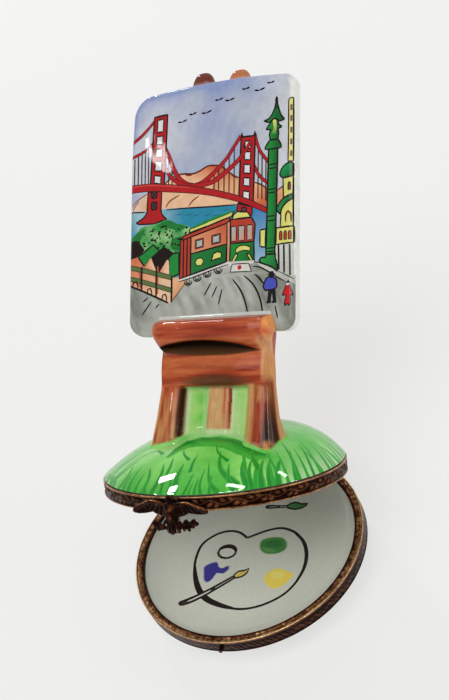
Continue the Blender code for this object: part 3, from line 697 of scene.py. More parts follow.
def paint_bush(art):
    outline = [(-19.8, 19.0), (-18.6, 21.6), (-17.2, 23.6), (-14.8, 24.1), (-12.4, 24.4), (-10.6, 24.9),
               (-8.6, 24.0),
               (-6.4, 23.4), (-4.6, 22.4), (-5.4, 20.8), (-7.0, 19.0), (-7.2, 14.0), (-19.8, 14.0)]

    def leaves(spots):
        blend = unit(0.5 + 1.3 * soft_noise(spots, 0.45, 9.0))[:, None]
        return LEAF * blend + LEAF_PALE * (1.0 - blend)

    art.area(outline, leaves, smooth=True)
    for outline in ([(-13.0, 23.6), (-10.6, 24.8), (-8.4, 23.9), (-6.0, 23.0), (-7.4, 22.2), (-10.2, 23.0)],
                    [(-19.6, 20.6), (-18.0, 22.6), (-16.2, 23.2), (-17.0, 21.4), (-18.2, 19.6)],
                    [(-9.0, 20.6), (-6.4, 20.8), (-5.6, 19.4), (-7.0, 18.0), (-9.4, 18.6)]):
        soft_blob(art, outline, 0.6 * DEEP_GREEN + 0.4 * LEAF, LEAF)
    dabs = np.random.default_rng(8)
    for _ in range(95):
        x = dabs.uniform(-18.8, -5.2)
        y = dabs.uniform(17.5, 24.2)
        length = dabs.uniform(0.3, 0.75)
        angle = dabs.uniform(-0.9, 0.4)
        tip = (x + length * math.cos(angle), y + length * math.sin(angle))
        colour = INK if dabs.uniform() < 0.6 else DEEP_GREEN
        if y < 23.6 - 0.12 * abs(x + 11.0):
            art.line([(x, y), tip], dabs.uniform(0.2, 0.42), colour)


def paint_tram(art):
    """A small red and green tram, seen from its front corner."""
    art.framed([(-7.3, 11.9), (-7.1, 20.1), (-6.2, 20.9), (-4.5, 21.3), (-4.6, 12.2)], BRICK, 0.26)
    for x in (-6.3, -5.4):
        art.line([(x - 0.1, 12.1), (x, 20.3)], 0.24, tail=0.9)
    art.framed([(-4.5, 17.0), (-4.5, 21.2), (4.3, 23.3), (4.2, 18.4)],
               wash(paint("e0936c"), paint("c4583c"), (-2.0, 19.5), (4.0, 23.0)), 0.24)
    art.framed([(-6.6, 20.1), (-6.5, 20.9), (4.9, 24.0), (4.8, 22.9)], BRICK, 0.24)
    art.framed([(-5.0, 21.5), (-4.8, 22.3), (0.0, 23.6), (5.8, 25.1), (5.3, 24.1), (0.0, 22.7)], YELLOW,
               0.24)
    art.line([(-4.7, 22.45), (0.0, 23.8), (5.8, 25.2)], 0.3, PAINT_GREEN)
    art.framed([(-4.6, 12.6), (-4.5, 17.0), (4.2, 18.4), (4.0, 14.7)],
               wash(paint("24813f"), DEEP_GREEN, (-4.0, 16.0), (3.0, 14.0)), 0.26)
    for low, high in (((-3.5, 17.9), (-1.4, 20.1)), ((0.5, 18.5), (2.7, 20.7))):
        (x0, y0), (x1, y1) = low, high
        art.framed([(x0, y0), (x1, y0 + 0.3), (x1, y1 + 0.1), (x0, y1 - 0.2)], paint("8e4a35"), 0.1)
        art.framed([(x0 + 0.3, y0 + 0.3), (x1 - 0.25, y0 + 0.55), (x1 - 0.25, y1 - 0.2),
                    (x0 + 0.3, y1 - 0.45)], GLASS, 0.14)
    art.framed([(-3.5, 15.1), (-2.9, 15.9), (-1.9, 16.0), (-1.3, 15.3), (-1.9, 14.4), (-3.0, 14.4)],
               YELLOW, 0.18, True)
    art.framed([(0.5, 15.2), (1.0, 16.6), (2.0, 17.0), (2.9, 16.7), (2.9, 15.7)], YELLOW, 0.22)
    art.framed([(4.2, 14.6), (4.2, 22.9), (5.0, 23.1), (5.0, 14.6)], paint("d99a78"), 0.22)
    art.framed([(5.0, 18.2), (5.0, 23.4), (9.9, 23.4), (10.8, 21.9), (10.5, 18.2)], BRICK, 0.26)
    art.framed([(5.3, 23.4), (5.8, 24.4), (6.6, 24.9), (9.0, 24.6), (9.8, 23.5)], YELLOW, 0.24)
    for x0, x1 in ((5.2, 6.4), (6.9, 8.3), (8.9, 10.2)):
        art.framed([(x0, 18.8), (x0, 21.9), (x1, 21.9), (x1, 18.8)],
                   wash(GLASS, SALMON, (x0, 20.5), (x1 + 0.6, 19.5)), 0.16)
    art.framed([(4.9, 14.4), (5.0, 18.4), (10.5, 18.4), (10.6, 14.3)],
               wash(PAINT_GREEN, DEEP_GREEN, (6.5, 17.0), (10.0, 15.0)), 0.26)
    hood = smooth_path([(6.2, 17.0), (7.0, 17.7), (8.4, 17.8), (9.7, 17.3)])
    art.framed(hood.tolist() + [(9.6, 16.5), (8.0, 16.8), (6.4, 16.3)], YELLOW, 0.18)
    art.framed([(5.3, 14.6), (6.2, 16.1), (6.9, 16.1), (6.0, 14.6)], YELLOW, 0.18)
    art.framed([(8.8, 16.0), (9.5, 15.9), (10.4, 14.5), (9.8, 14.5)], YELLOW, 0.18)
    art.area([(-7.6, 11.2), (-7.4, 12.0), (4.0, 14.7), (10.6, 14.5), (10.4, 13.9), (4.6, 13.8)],
             paint("d8d5cd"))
    art.line([(-7.4, 11.9), (-2.0, 13.2), (4.2, 14.7)], 0.24)
    art.line([(-7.6, 11.3), (-4.0, 12.0), (1.0, 13.3), (4.6, 14.1)], 0.2)
    for x, y in ((-5.1, 11.2), (-2.9, 11.9), (-0.5, 12.6), (2.2, 13.2)):
        art.line(arc_of((x, y), (0.95, 0.75), 0.95, 2.1, 12), 0.24, smooth=False)
        art.line(arc_of((x, y), (0.5, 0.4), 0.8, 2.3, 10), 0.2, smooth=False)
    art.framed([(5.0, 12.5), (5.5, 14.1), (9.3, 14.0), (10.0, 12.3)], paint("d9d8d2"), 0.16)
    art.area(arc_of((7.2, 13.3), (0.5, 0.48), 0.0, 2.0, 16, closed=True), paint("c3202a"))


def paint_houses(art):
    """A row of gabled houses behind a railing."""
    wall = [(-19.8, 11.2), (-19.8, 19.5), (-15.6, 16.0), (-9.2, 16.0), (-9.1, 12.2), (-7.0, 12.2),
            (-5.6, 11.0), (-9.2, 6.9), (-10.2, 7.0)]
    art.area(wall, wash(WALL_LIT, WALL_SHADE, (-13.0, 9.0), (-19.0, 15.0)))
    art.framed([(-9.9, 12.4), (-10.0, 17.3), (-7.5, 17.6), (-7.4, 13.0), (-9.2, 12.4)], PAINT_GREEN, 0.26)
    art.framed([(-19.8, 17.0), (-19.8, 20.6), (-18.0, 20.9), (-16.3, 18.8), (-18.0, 17.4)], BLACK_ROOF, 0.2)
    art.framed([(-17.7, 17.4), (-14.0, 19.8), (-12.3, 18.2), (-14.6, 16.9), (-16.2, 15.2)], PAINT_GREEN,
               0.26)
    art.area([(-16.0, 15.4), (-14.6, 17.0), (-13.7, 16.4), (-12.8, 13.6), (-16.2, 14.6)],
             wash(WALL_LIT, WALL_SHADE, (-14.6, 15.2), (-15.9, 15.6)))
    art.framed([(-14.4, 17.0), (-11.3, 19.0), (-8.9, 17.5), (-10.6, 16.2), (-12.8, 13.6)], BLACK_ROOF, 0.24)
    art.area([(-12.6, 13.5), (-10.6, 16.2), (-10.0, 16.0), (-9.8, 12.6)],
             wash(WALL_LIT, WALL_SHADE, (-10.6, 14.2), (-12.2, 14.6)))
    art.line([(-12.7, 13.5), (-10.5, 16.4)], 0.22)
    art.area([(-9.1, 12.2), (-7.1, 12.4), (-5.6, 11.0), (-9.1, 7.1)],
             wash(TAN, paint("d9a079"), (-8.5, 11.0), (-7.0, 9.5)))
    for x in (-17.1, -13.0):
        art.line([(x, 15.0), (x + 0.1, 10.8 if x < -15 else 9.0)], 0.6, paint("c66a48"), tail=0.8)
    for left, right, wide in ((15.3, 12.3, 0.85), (12.9, 9.6, 0.8)):
        art.band([(-19.8, left), (-9.2, right)], (wide, wide), OLIVE, 0.14, smooth=False)
    for x, foot in ((-16.8, 10.2), (-13.1, 8.4)):
        art.line([(x, 15.2), (x, foot)], 0.34, paint("2c1a14"), tail=0.9)
    art.line([(-9.2, 12.6), (-9.2, 7.0)], 0.34, tail=0.9)
    art.line([(-19.7, 11.3), (-15.0, 9.2), (-10.0, 7.0)], 0.32, tail=0.8)
    for x, y in ((-18.2, 10.6), (-14.8, 9.0), (-11.0, 7.5)):
        arc = smooth_path([(x - 0.6, y), (x - 0.4, y + 1.2), (x + 0.2, y + 1.4), (x + 0.6, y + 0.4),
                           (x + 0.6, y - 0.3)])
        art.line(arc, 0.26, smooth=False)
    art.line([(-9.2, 7.1), (-7.0, 9.6), (-5.6, 11.0)], 0.2, paint("7a5a48"))


def street_grey(spots):
    """Grey laid in streaks that run down towards the near corner."""
    streak = np.array([noise.noise(Vector((0.9 * x + 0.28 * y, 0.1 * y - 0.05 * x, 7.0))) for x,
                       y in spots])
    dark = unit(0.25 + 0.9 * streak + np.clip((np.abs(spots[:, 0] + 2.0) - 10.0) / 12.0, 0.0, 0.6))[:, None]
    grey = mix(STREET, STREET_DARK, dark)
    near = np.clip((4.4 - spots[:, 1]) / 3.0, 0.0, 0.6)[:, None]
    near = near * unit(1.0 - np.abs(spots[:, :1]) / 17.0) ** 0.4
    return mix(grey, STREET_PALE, near)


def paint_street(art):
    kerb = [(-19.8, 11.0), (-9.2, 7.0), (-5.6, 11.0), (-7.4, 11.6), (4.0, 14.4), (10.8, 14.2), (19.8, 9.9)]
    art.area(kerb + [(19.8, -1.0), (-19.8, -1.0)], street_grey)
    art.area([(10.4, 14.6), (12.2, 14.0), (19.6, 10.9), (19.6, 9.2), (15.0, 10.9)],
             wash(STREET_PALE, paint("b9b9b2"), (12.0, 14.0), (18.0, 10.0)))
    for rail in ([(5.6, 11.0), (7.3, 8.9), (8.5, 6.4), (9.2, 3.8)],
                 [(8.2, 11.6), (10.4, 9.6), (12.0, 6.6), (12.8, 2.6)],
                 [(10.7, 11.7), (11.9, 10.7), (12.9, 9.4)]):
        art.line(rail, 0.3)
    for stroke in (((-1.2, 8.0), (0.5, 10.6)), ((0.7, 7.5), (1.9, 9.8)), ((2.3, 5.9), (3.1, 9.1)),
                   ((-16.6, 4.7), (-14.2, 7.6)),
                   ((-13.2, 6.0), (-12.3, 6.9)), ((15.4, 5.1), (16.0, 2.4)), ((-16.4, 7.5), (-15.2, 8.4))):
        art.line(stroke, 0.24)
    art.line([(10.2, 13.3), (12.2, 12.9), (15.2, 11.1), (17.4, 9.9)], 0.24)
    art.line([(10.6, 14.3), (14.0, 13.1), (19.4, 10.2)], 0.22)


def paint_walkers(art):
    """Two tiny figures in hats."""
    art.area([(13.6, 5.9), (14.0, 9.0), (15.4, 9.0), (15.7, 6.0), (14.9, 5.7), (14.7, 7.6), (14.4, 5.7)],
             CHARCOAL)
    for foot in ((14.0, 5.8), (15.2, 5.8)):
        art.area(arc_of(foot, (0.6, 0.3), 0.0, 6.0 / math.pi, 10), CHARCOAL)
    art.framed([(13.1, 8.2), (12.7, 9.0), (13.4, 10.6), (14.6, 11.0), (15.6, 10.4), (15.8, 8.8),
                (15.3, 8.4), (14.0, 8.2)], paint("4953bf"), 0.24, True)
    art.area(arc_of((14.5, 11.2), (0.65, 0.6), 0.0, 2.0, 12, closed=True), CHARCOAL)
    art.area([(13.4, 11.3), (15.7, 11.3), (15.1, 11.6), (15.0, 12.0), (14.1, 12.0), (14.0, 11.6)], CHARCOAL)
    art.framed([(17.4, 5.2), (17.9, 7.0), (16.9, 7.0), (17.9, 9.0), (18.6, 9.0), (19.3, 6.9), (18.7, 7.0),
                (18.8, 5.2)], paint("cf1f28"), 0.16)
    art.area(arc_of((18.2, 9.3), (0.4, 0.4), 0.0, 2.0, 10, closed=True), paint("e8d9cf"))
    art.area([(17.4, 9.4), (19.1, 9.4), (18.6, 9.6), (18.3, 10.1), (18.0, 9.6)], CHARCOAL)
    for x in (17.7, 18.5):
        art.area(arc_of((x, 5.0), (0.28, 0.2), 0.0, 2.0, 8, closed=True), CHARCOAL)


def canvas_outline(inset=0.0, steps=7):
    """The canvas's outline with its rounded corners, anticlockwise, with points along its sides."""
    half = CANVAS_HALF - inset
    corners = []
    for sign, up, radius, first in ((1, 0.0, 2.6, -90), (1, CANVAS_TALL, 2.4, 0),
                                    (-1, CANVAS_TALL, 4.2, 90), (-1, 0.0, 3.6, 180)):
        eased = max(radius - inset, 0.4)
        middle_up = inset + eased if up == 0.0 else up - inset - eased
        for i in range(steps + 1):
            angle = math.radians(first + 90.0 * i / steps)
            corners.append((sign * (half - eased) + eased * math.cos(angle),
                            middle_up + eased * math.sin(angle)))
    outline = []
    for first, second in zip(corners, corners[1:] + corners[:1]):
        first, second = np.array(first), np.array(second)
        pieces = max(1, int(np.linalg.norm(second - first) / 2.0))
        outline.extend(first + (second - first) * i / pieces for i in range(pieces))
    return np.array(outline)


def hand_shaped(points):
    """The canvas isn't a true rectangle: its top is bowed and its left side swells below."""
    x, depth, up = np.asarray(points, float).T
    bow = 1.15 * (1.0 - (x / CANVAS_HALF) ** 2) * unit((up - 40.0) / 12.2) ** 2
    swell = 0.65 * unit((-x - 15.0) / 4.6) ** 2 * unit((50.0 - up) / 12.0)
    return np.stack([x - swell, depth, up + bow], 1)


EDGE_ROUND = 1.15


def edge_distance(spots):
    """How far a point of the canvas is from its outline, with the corners rounded."""
    x, y = spots[:, 0], spots[:, 1]
    radius = np.where(x > 0.0, np.where(y > 26.0, 2.4, 2.6), np.where(y > 26.0, 4.2, 3.6))
    dx = np.maximum(np.abs(x) - (CANVAS_HALF - radius), 0.0)
    dy = np.maximum(np.abs(y - CANVAS_TALL / 2.0) - (CANVAS_TALL / 2.0 - radius), 0.0)
    corner = radius - np.hypot(dx, dy)
    flat = np.minimum(CANVAS_HALF - np.abs(x), CANVAS_TALL / 2.0 - np.abs(y - CANVAS_TALL / 2.0))
    return np.where((dx > 0.0) & (dy > 0.0), corner,
                    np.minimum(flat, np.where((dx > 0) | (dy > 0), corner, flat)))


def canvas_depth(spots):
    """The front face: nearly flat, softly uneven, and rounded over at its edge."""
    inwards = unit(edge_distance(spots) / EDGE_ROUND)
    rounding = 0.75 * (1.0 - np.sqrt(unit(1.0 - (1.0 - inwards) ** 2)))
    uneven = 0.05 * soft_noise(spots, 0.09, 1.0) + 0.008 * soft_noise(spots, 0.28, 2.0)
    return rounding + uneven + 0.1


def canvas_surface(spots):
    return hand_shaped(np.stack([spots[:, 0], canvas_depth(spots), spots[:, 1]], 1))


# The canvas past its front edge, as (inset, depth): its side, its back and the recess in its back.
CANVAS_BACK = ((0.0, 1.4), (0.0, 2.6), (0.1, 3.0), (0.45, CANVAS_DEEP), (3.6, CANVAS_DEEP), (4.1, 3.05),
               (4.5, 2.4),
               (4.9, 1.75), (6.0, 1.5), (19.0, 1.4))


def build_canvas():
    art = Picture(sky_ground)
    for stage in (paint_hills, paint_water, paint_bridge, paint_gulls, paint_bush, paint_street,
                  paint_houses, paint_tram,
                  paint_right_buildings, paint_lamp, paint_walkers):
        stage(art)
    insets = [canvas_outline(inset) for inset in (0.06, 0.2, 0.4, 0.65, 0.9, 1.2)]
    shell = Shell(canvas_surface, art.cut(canvas_outline(), insets, 1.1), WHITE)
    spots = shell.spots
    normals = -surface_normals(canvas_surface, spots)
    normals[normals[:, 1] > 0.0] *= -1.0
    edge = spots[shell.loop]
    middle = np.array([0.0, CANVAS_TALL / 2.0])
    half = np.array([CANVAS_HALF, CANVAS_TALL / 2.0])
    for inset, depth in CANVAS_BACK:
        ring = (edge - middle) * (1.0 - inset / half) + middle
        shell.add_ring(hand_shaped([(x, depth, up) for x, up in ring]).tolist())
    material = glazed("canvas_glaze", (1.0, 1.0, 0.6), 600.0, 0.9, 1.07)
    canvas = shell.close("painted_canvas", EASEL, "lid", material, backwards=False)
    averaged = [tuple(n.vector) for n in canvas.data.vertex_normals]
    recess = 2 * len(shell.loop)
    flat = [(0.0, 1.0, 0.0)] * recess
    canvas.data.normals_split_custom_set_from_vertices(normals.tolist() + averaged[len(spots):-recess]
                                                       + flat)
    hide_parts("canvas")
    return canvas


# ---------------------------------------------------------------------------------------------
# Turned shapes on the oval


def oval_grid(profile, circle, lift):
    """Rows of points round the oval, one for each (radius, z) of the profile, with a lift for each point."""
    rows = []
    for (radius, z), out in zip(profile, lift):
        flat = circle * (radius + out)[:, None] * (1.0, OVAL)
        rows.append(np.column_stack([flat, np.full(len(circle), z)]))
    return np.concatenate(rows)


def ring_faces(segments, rows, closed=True):
    """Faces between rows that are closed loops; a closed profile joins its last row to its first."""
    faces = []
    for row in range(rows if closed else rows - 1):
        low = row * segments
        high = ((row + 1) % rows) * segments
        for i in range(segments):
            j = (i + 1) % segments
            faces.append((low + i, low + j, high + j, high + i))
    return faces


# ---------------------------------------------------------------------------------------------
# The dish, with a painter's palette on its floor

PORCELAIN = paint("d6d9d1")


def dish_depth(spots):
    radius = np.hypot(spots[:, 0], spots[:, 1] / OVAL)
    return DISH_FLOOR + 4.35 * (radius / (MOUTH_HALF - 0.1)) ** 5.6


def dish_surface(spots):
    return np.stack([spots[:, 0], spots[:, 1], dish_depth(spots)], 1)


def soft_blob(art, outline, colour, ground, rings=4):
    """A dab of paint whose edge thins out into the ground."""
    outline = smooth_path(outline, True, 0.6)
    middle = outline.mean(0)
    for ring in range(rings):
        share = (ring + 1.0) / rings
        scale = 1.06 - 0.12 * ring / (rings - 1.0)
        art.area(middle + (outline - middle) * scale, mix(ground, colour, share))


def paint_brush(art, end, ferrule, tip, bristle, size=1.0):
    """An artist's brush: a tapered handle drawn in outline, and a loaded tip."""
    end, ferrule, tip = (np.array(p, float) for p in (end, ferrule, tip))
    run = ferrule - end
    side = np.array([-run[1], run[0]]) / np.linalg.norm(run)
    handle = [end, end + 0.12 * run, end + 0.6 * run, ferrule]
    art.band(handle, tuple(size * w for w in (0.9, 1.15, 0.75, 0.5)), paint("332c2c"))
    art.band([end + 0.62 * run, ferrule], (0.75 * size, 0.55 * size), paint("a8a8a4"), smooth=False)
    for sign in (-1.0, 1.0):
        edge = [end + sign * 0.5 * size * side, end + 0.12 * run + sign * 0.62 * size * side,
                end + 0.6 * run + sign * 0.42 * size * side, ferrule + sign * 0.3 * size * side]
        art.line(edge, 0.36 * size, tail=0.9)
    art.line([end + 0.55 * size * side, end - 0.05 * size * run, end - 0.55 * size * side], 0.5 * size,
             tail=1.0)
    art.line([end + 0.62 * run - 0.4 * side, end + 0.62 * run + 0.4 * side], 0.25)
    art.line([end + 0.12 * run, end + 0.55 * run], 0.3 * size**3, paint("c4c6c2"))
    reach = tip - ferrule
    out = np.array([-reach[1], reach[0]]) / np.linalg.norm(reach)
    drop = [ferrule - 0.35 * out, ferrule + 0.4 * reach - 1.0 * out, ferrule + 0.8 * reach - 0.75 * out,
            tip,
            ferrule + 0.7 * reach + 0.15 * out, ferrule + 0.35 * reach + 0.8 * out, ferrule + 0.35 * out]
    art.area(drop, bristle, smooth=True)
    art.line(drop + drop[:1], 0.3, tail=1.0)


def paint_palette(art):
    """A heart-shaped palette with a thumb hole, three dabs of paint and two brushes."""
    heart = [(-3.6, 4.7), (-5.4, 5.8), (-7.5, 6.3), (-10.0, 5.9), (-12.3, 4.5), (-14.0, 2.4), (-14.4, 0.0),
             (-13.9, -3.5),
             (-12.3, -6.9), (-10.0, -10.0), (-7.3, -11.9), (-3.6, -13.0), (0.0, -13.5), (3.2, -13.1),
             (6.8, -11.6),
             (10.0, -9.1), (11.8, -6.2), (12.6, -3.0), (12.5, 0.0), (11.6, 2.7), (10.0, 5.0), (7.3, 7.0),
             (4.1, 7.8),
             (1.1, 7.1), (-1.4, 5.9), (-3.6, 4.7)]
    art.line(heart, 0.42, tail=1.0)
    art.line(heart[7:13], 1.0, tail=0.1)
    art.line(heart[16:22], 0.62, tail=0.3)
    for width, low, high, tail in ((0.4, 0.0, 2.0, 1.0), (0.75, 0.05, 0.95, 0.3)):
        art.line(arc_of((-7.2, 0.6), (2.2, 1.6), low, high, 14), width, smooth=False, tail=tail)
    soft_blob(art, [(0.2, 4.2), (2.3, 5.2), (5.0, 5.3), (6.6, 4.0), (6.7, 2.2), (5.0, 1.1), (2.3, 0.9),
                    (0.5, 2.2)],
              paint("43873f"), PORCELAIN)
    art.area([(1.4, 3.8), (3.0, 4.5), (5.2, 4.3), (5.6, 3.2), (3.6, 2.7), (1.8, 2.8)], paint("347539"),
             smooth=True)
    art.area([(0.9, 2.4), (2.6, 2.3), (4.8, 1.9), (4.2, 1.4), (2.4, 1.3)], paint("5a9a52"), smooth=True)
    soft_blob(art, [(-11.4, -3.7), (-10.0, -2.5), (-8.6, -2.2), (-7.9, -3.3), (-7.0, -3.7), (-5.4, -2.8),
                    (-5.1, -3.7),
                        (-6.1, -5.0), (-7.7, -5.0), (-8.2, -6.6), (-9.1, -7.6), (-10.2, -7.0),
                        (-10.8, -5.5)],
              paint("3a3590"), PORCELAIN)
    soft_blob(art, [(4.1, -4.4), (5.9, -2.8), (7.7, -2.8), (9.5, -3.4), (10.8, -3.7), (10.2, -5.3),
                    (8.9, -7.1), (7.3, -7.7),
                        (5.2, -6.9), (4.2, -5.5)], paint("f6dd60"), PORCELAIN)
    art.area([(5.2, -4.0), (7.0, -3.3), (8.8, -4.0), (7.8, -5.0), (5.8, -5.0)], paint("f9e67c"),
             smooth=True)
    paint_brush(art, (-12.7, -14.2), (-3.1, -5.6), (-0.3, -3.2), paint("d8c468"))
    paint_brush(art, (-1.6, 13.25), (3.7, 13.6), (8.6, 14.3), paint("3f7a41"), 0.62)


def dish_ground(spots):
    """Warm white glaze, with painted shade that darkens and greys it towards the hinge, under the open lid,
    and towards the left.
    """
    # Painted shade: darker towards the hinge, where the open lid shadows the dish, and towards the left.
    back = unit((spots[:, 1] + 2.0) / 20.0)
    left = unit((-spots[:, 0] - 2.0) / 20.0)
    return PORCELAIN * np.array([1.0, 0.99, 0.955]) * ((1.0 - 0.25 * back) * (1.0 - 0.22 * left))[:, None]


# The dish's outside below its rim, as (radius, z): the bowl, the foot ring and the hollow under it.
DISH_OUTSIDE = ((25.0, 5.0), (23.9, 3.5), (23.0, 2.2), (22.4, 1.2), (22.05, 0.6), (21.9, 0.2), (21.6, 0.0),
                (20.6, 0.0), (20.2, 0.35), (19.6, 0.6), (12.0, 0.6))


def build_dish():
    art = Picture(dish_ground)
    paint_palette(art)
    circle = unit_circle(160)
    mouth = MOUTH_HALF - 0.1
    wall = BASE_HALF - 1.1

    def ring_at(radius):
        return circle * (radius, OVAL * radius)

    insets = [ring_at(mouth - k) for k in (0.4, 0.9, 1.5, 2.2)]
    shell = Shell(dish_surface, art.cut(ring_at(mouth), insets, 1.3), PORCELAIN)
    start = shell.spots[shell.loop]
    for radius, z in ((mouth + 0.05, 7.85), (mouth + 0.2, 7.9), (wall, 7.85), (wall, 5.7)) + DISH_OUTSIDE:
        shell.add_ring([x, y, z] for x, y in start * (radius / mouth))
    dish = shell.close("painted_dish", BASE, "base", glazed("dish_glaze", low=0.97, high=1.03))
    set_normals(dish, surface_normals(dish_surface, shell.spots))
    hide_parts("base_dish")
    return dish


# ---------------------------------------------------------------------------------------------
# The brass rims

BRASS_DARK = paint("1b0c08")
BRASS_BROWN = paint("55301f")
BRASS_WARM = paint("93603d")
BRASS_BRIGHT = paint("e0b888")


def tarnish(share):
    """Brass from the dark of a hollow, at 0, to a rubbed edge, at 1."""
    share = unit(np.asarray(share, float))[:, None]
    stops = (BRASS_DARK, BRASS_BROWN, BRASS_WARM, BRASS_BRIGHT)
    place = share * 3.0
    colour = np.zeros((len(share), 3))
    for k, stop in enumerate(stops):
        colour += stop * unit(1.0 - np.abs(place - k))
    return colour


def leaf_relief(along, across):
    """Height, 0 to 1, of a scroll of leaves. One repeat is 1 long; across runs from -1 to 1."""
    vine = 0.42 * np.sin(2.0 * math.pi * along)
    height = 0.75 * np.exp(-(((across - vine) / 0.13) ** 2))
    for centre, side, turn in ((0.25, -0.42, 0.5), (0.75, 0.42, -0.5), (0.02, 0.62, -0.9),
                               (0.5, -0.62, 0.9)):
        for shift in (-1.0, 0.0, 1.0):
            x = (along - centre - shift) * 4.4
            y = across - side
            u = x * math.cos(turn) + y * math.sin(turn)
            v = -x * math.sin(turn) + y * math.cos(turn)
            body = unit(1.0 - (u / 0.8) ** 2 - (v / 0.34) ** 2) ** 0.5
            vein = (0.4 * np.exp(-((v / 0.07) ** 2)) + 0.25
                    * np.exp(-((((u * 3.2) % 1.0) - 0.5) / 0.16) ** 2))
            height = np.maximum(height, body * (1.0 - vein))
    return height


def engraved_relief(along, across):
    """Height, 0 to 1, of small slanting cuts with a wavering vine through them."""
    cuts = 0.5 + 0.5 * np.sin(2.0 * math.pi * (3.0 * along + 0.55 * across))
    vine = np.exp(-(((across - 0.35 * np.sin(2.0 * math.pi * along)) / 0.22) ** 2))
    return unit(0.5 * cuts * (1.0 - 0.4 * vine) + 0.45 * vine)


BOX_SIDES = ((0, 1, 3, 2), (4, 6, 7, 5), (0, 4, 5, 1), (2, 3, 7, 6), (0, 2, 6, 4), (1, 5, 7, 3))
PAD_TONE = 0.12
LID_LEAF_GAP = 0.85


def build_band(name, profile, relief_rows, relief, repeats, depth, segments, place, body, tones, pads,
               milled=()):
    """A turned rim: a relief between two of its rows, milled rows on top, and pads under its fittings."""
    first, last = relief_rows
    rows = len(profile)
    angles = np.linspace(0.0, 2.0 * math.pi, segments, endpoint=False)
    heights = np.zeros((rows, segments))
    low = profile[first][1]
    high = profile[last][1]
    for row in range(first, last + 1):
        across = 2.0 * (profile[row][1] - low) / (high - low) - 1.0
        fade = unit((1.0 - abs(across)) / 0.18)
        along = (angles / (2.0 * math.pi) * repeats) % 1.0
        heights[row] = fade * relief(along, np.full(segments, across))
    lift = np.zeros((rows, segments))
    lift[first:last + 1] = (heights[first:last + 1] - 1.0) * depth
    points = oval_grid(profile, unit_circle(segments), lift)
    tone = np.repeat(np.array(tones)[:, None], segments, axis=1)
    tone[first:last + 1] = 0.75 * heights[first:last + 1] ** 2.2
    for row in milled:
        ticks = 0.5 + 0.5 * np.sin(angles * 330.0 + 1.7 * row + 1.5 * np.sin(angles * 23.0 + row))
        points[row * segments:(row + 1) * segments, 2] += 0.07 * (ticks - 0.5)
        tone[row] = tones[row] * (0.35 + 1.1 * ticks)
    worn = np.array([0.16 * noise.noise(Vector(p) * 0.5) + 0.12
                     * noise.noise(Vector(p) * 2.1) for p in points])
    for row in milled:
        span = slice(row * segments, (row + 1) * segments)
        worn[span] += [0.5 * noise.noise(Vector(p) * 1.3) for p in points[span]]
    tone = tone.ravel() + worn
    faces = ring_faces(segments, rows)
    for low, high in pads:
        first = len(points)
        corners = list(itertools.product(*zip(low, high)))
        points = np.concatenate([points, corners])
        tone = np.concatenate([tone, np.full(8, PAD_TONE)])
        faces.extend(tuple(first + corner for corner in side) for side in BOX_SIDES)
    mesh = new_mesh(name, points, faces)
    for side in range(len(faces) - len(BOX_SIDES) * len(pads), len(faces)):
        mesh.polygons[side].use_smooth = False
    face_outwards(mesh)
    return place_mesh(name, mesh, "POINT", tarnish(tone), place, body, brass(name + "_metal"))


def build_base_rim():
    """Engraved outside, a bright bead at the top edge, and a finely ribbed flat rim inside it."""
    half = BASE_HALF
    bottom = BASE_RIM_BOTTOM
    top = BASE_RIM_TOP
    profile = [(half - 1.0, bottom), (half - 0.45, bottom), (half - 0.15, bottom + 0.25),
               (half - 0.02, bottom + 0.5)]
    tones = [0.05, 0.15, 0.3, 0.15]
    first = len(profile)
    for k in range(12):
        profile.append((half - 0.02, bottom + 0.6 + 2.1 * k / 11.0))
        tones.append(0.1)
    last = len(profile) - 1
    for turn, tone in ((-0.6, 0.1), (-0.1, 0.35), (0.35, 0.75), (0.7, 1.0), (1.0, 0.9), (1.3, 0.5),
                       (1.6, 0.05)):
        angle = math.radians(90.0 * turn)
        profile.append((half - 0.25 + 0.23 * math.cos(angle), top - 0.25 + 0.25 * math.sin(angle)))
        tones.append(tone)
    milled = []
    for k in range(17):
        share = k / 16.0
        milled.append(len(profile))
        profile.append((half - 0.5 - 1.1 * share, top - 0.22 + 0.05 * math.sin(9.0 * share)))
        tones.append(0.72 - 0.42 * share)
    profile += [(half - 1.68, top - 0.3), (half - 1.78, top - 0.22), (half - 1.9, top - 0.2),
                (half - 2.0, top - 0.3), (half - 2.05, top - 0.9),
                (half - 0.85, top - 0.9)]
    tones += [0.0, 0.1, 0.15, 0.0, 0.0, 0.0]
    face = OVAL * half
    base_pads = [((CLASP_X - 0.35, -face - 0.32, 6.65), (CLASP_X + 0.35, -face + 0.4, 7.35)),
                 ((-5.2, face - 0.8, 5.8), (5.2, face + 0.32, 8.1))]
    rim = build_band("base_rim_brass", profile, (first, last), engraved_relief, 44, 0.16, 1320, BASE,
                     "base", tones,
                     base_pads, milled)
    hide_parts("base_rim")
    return rim


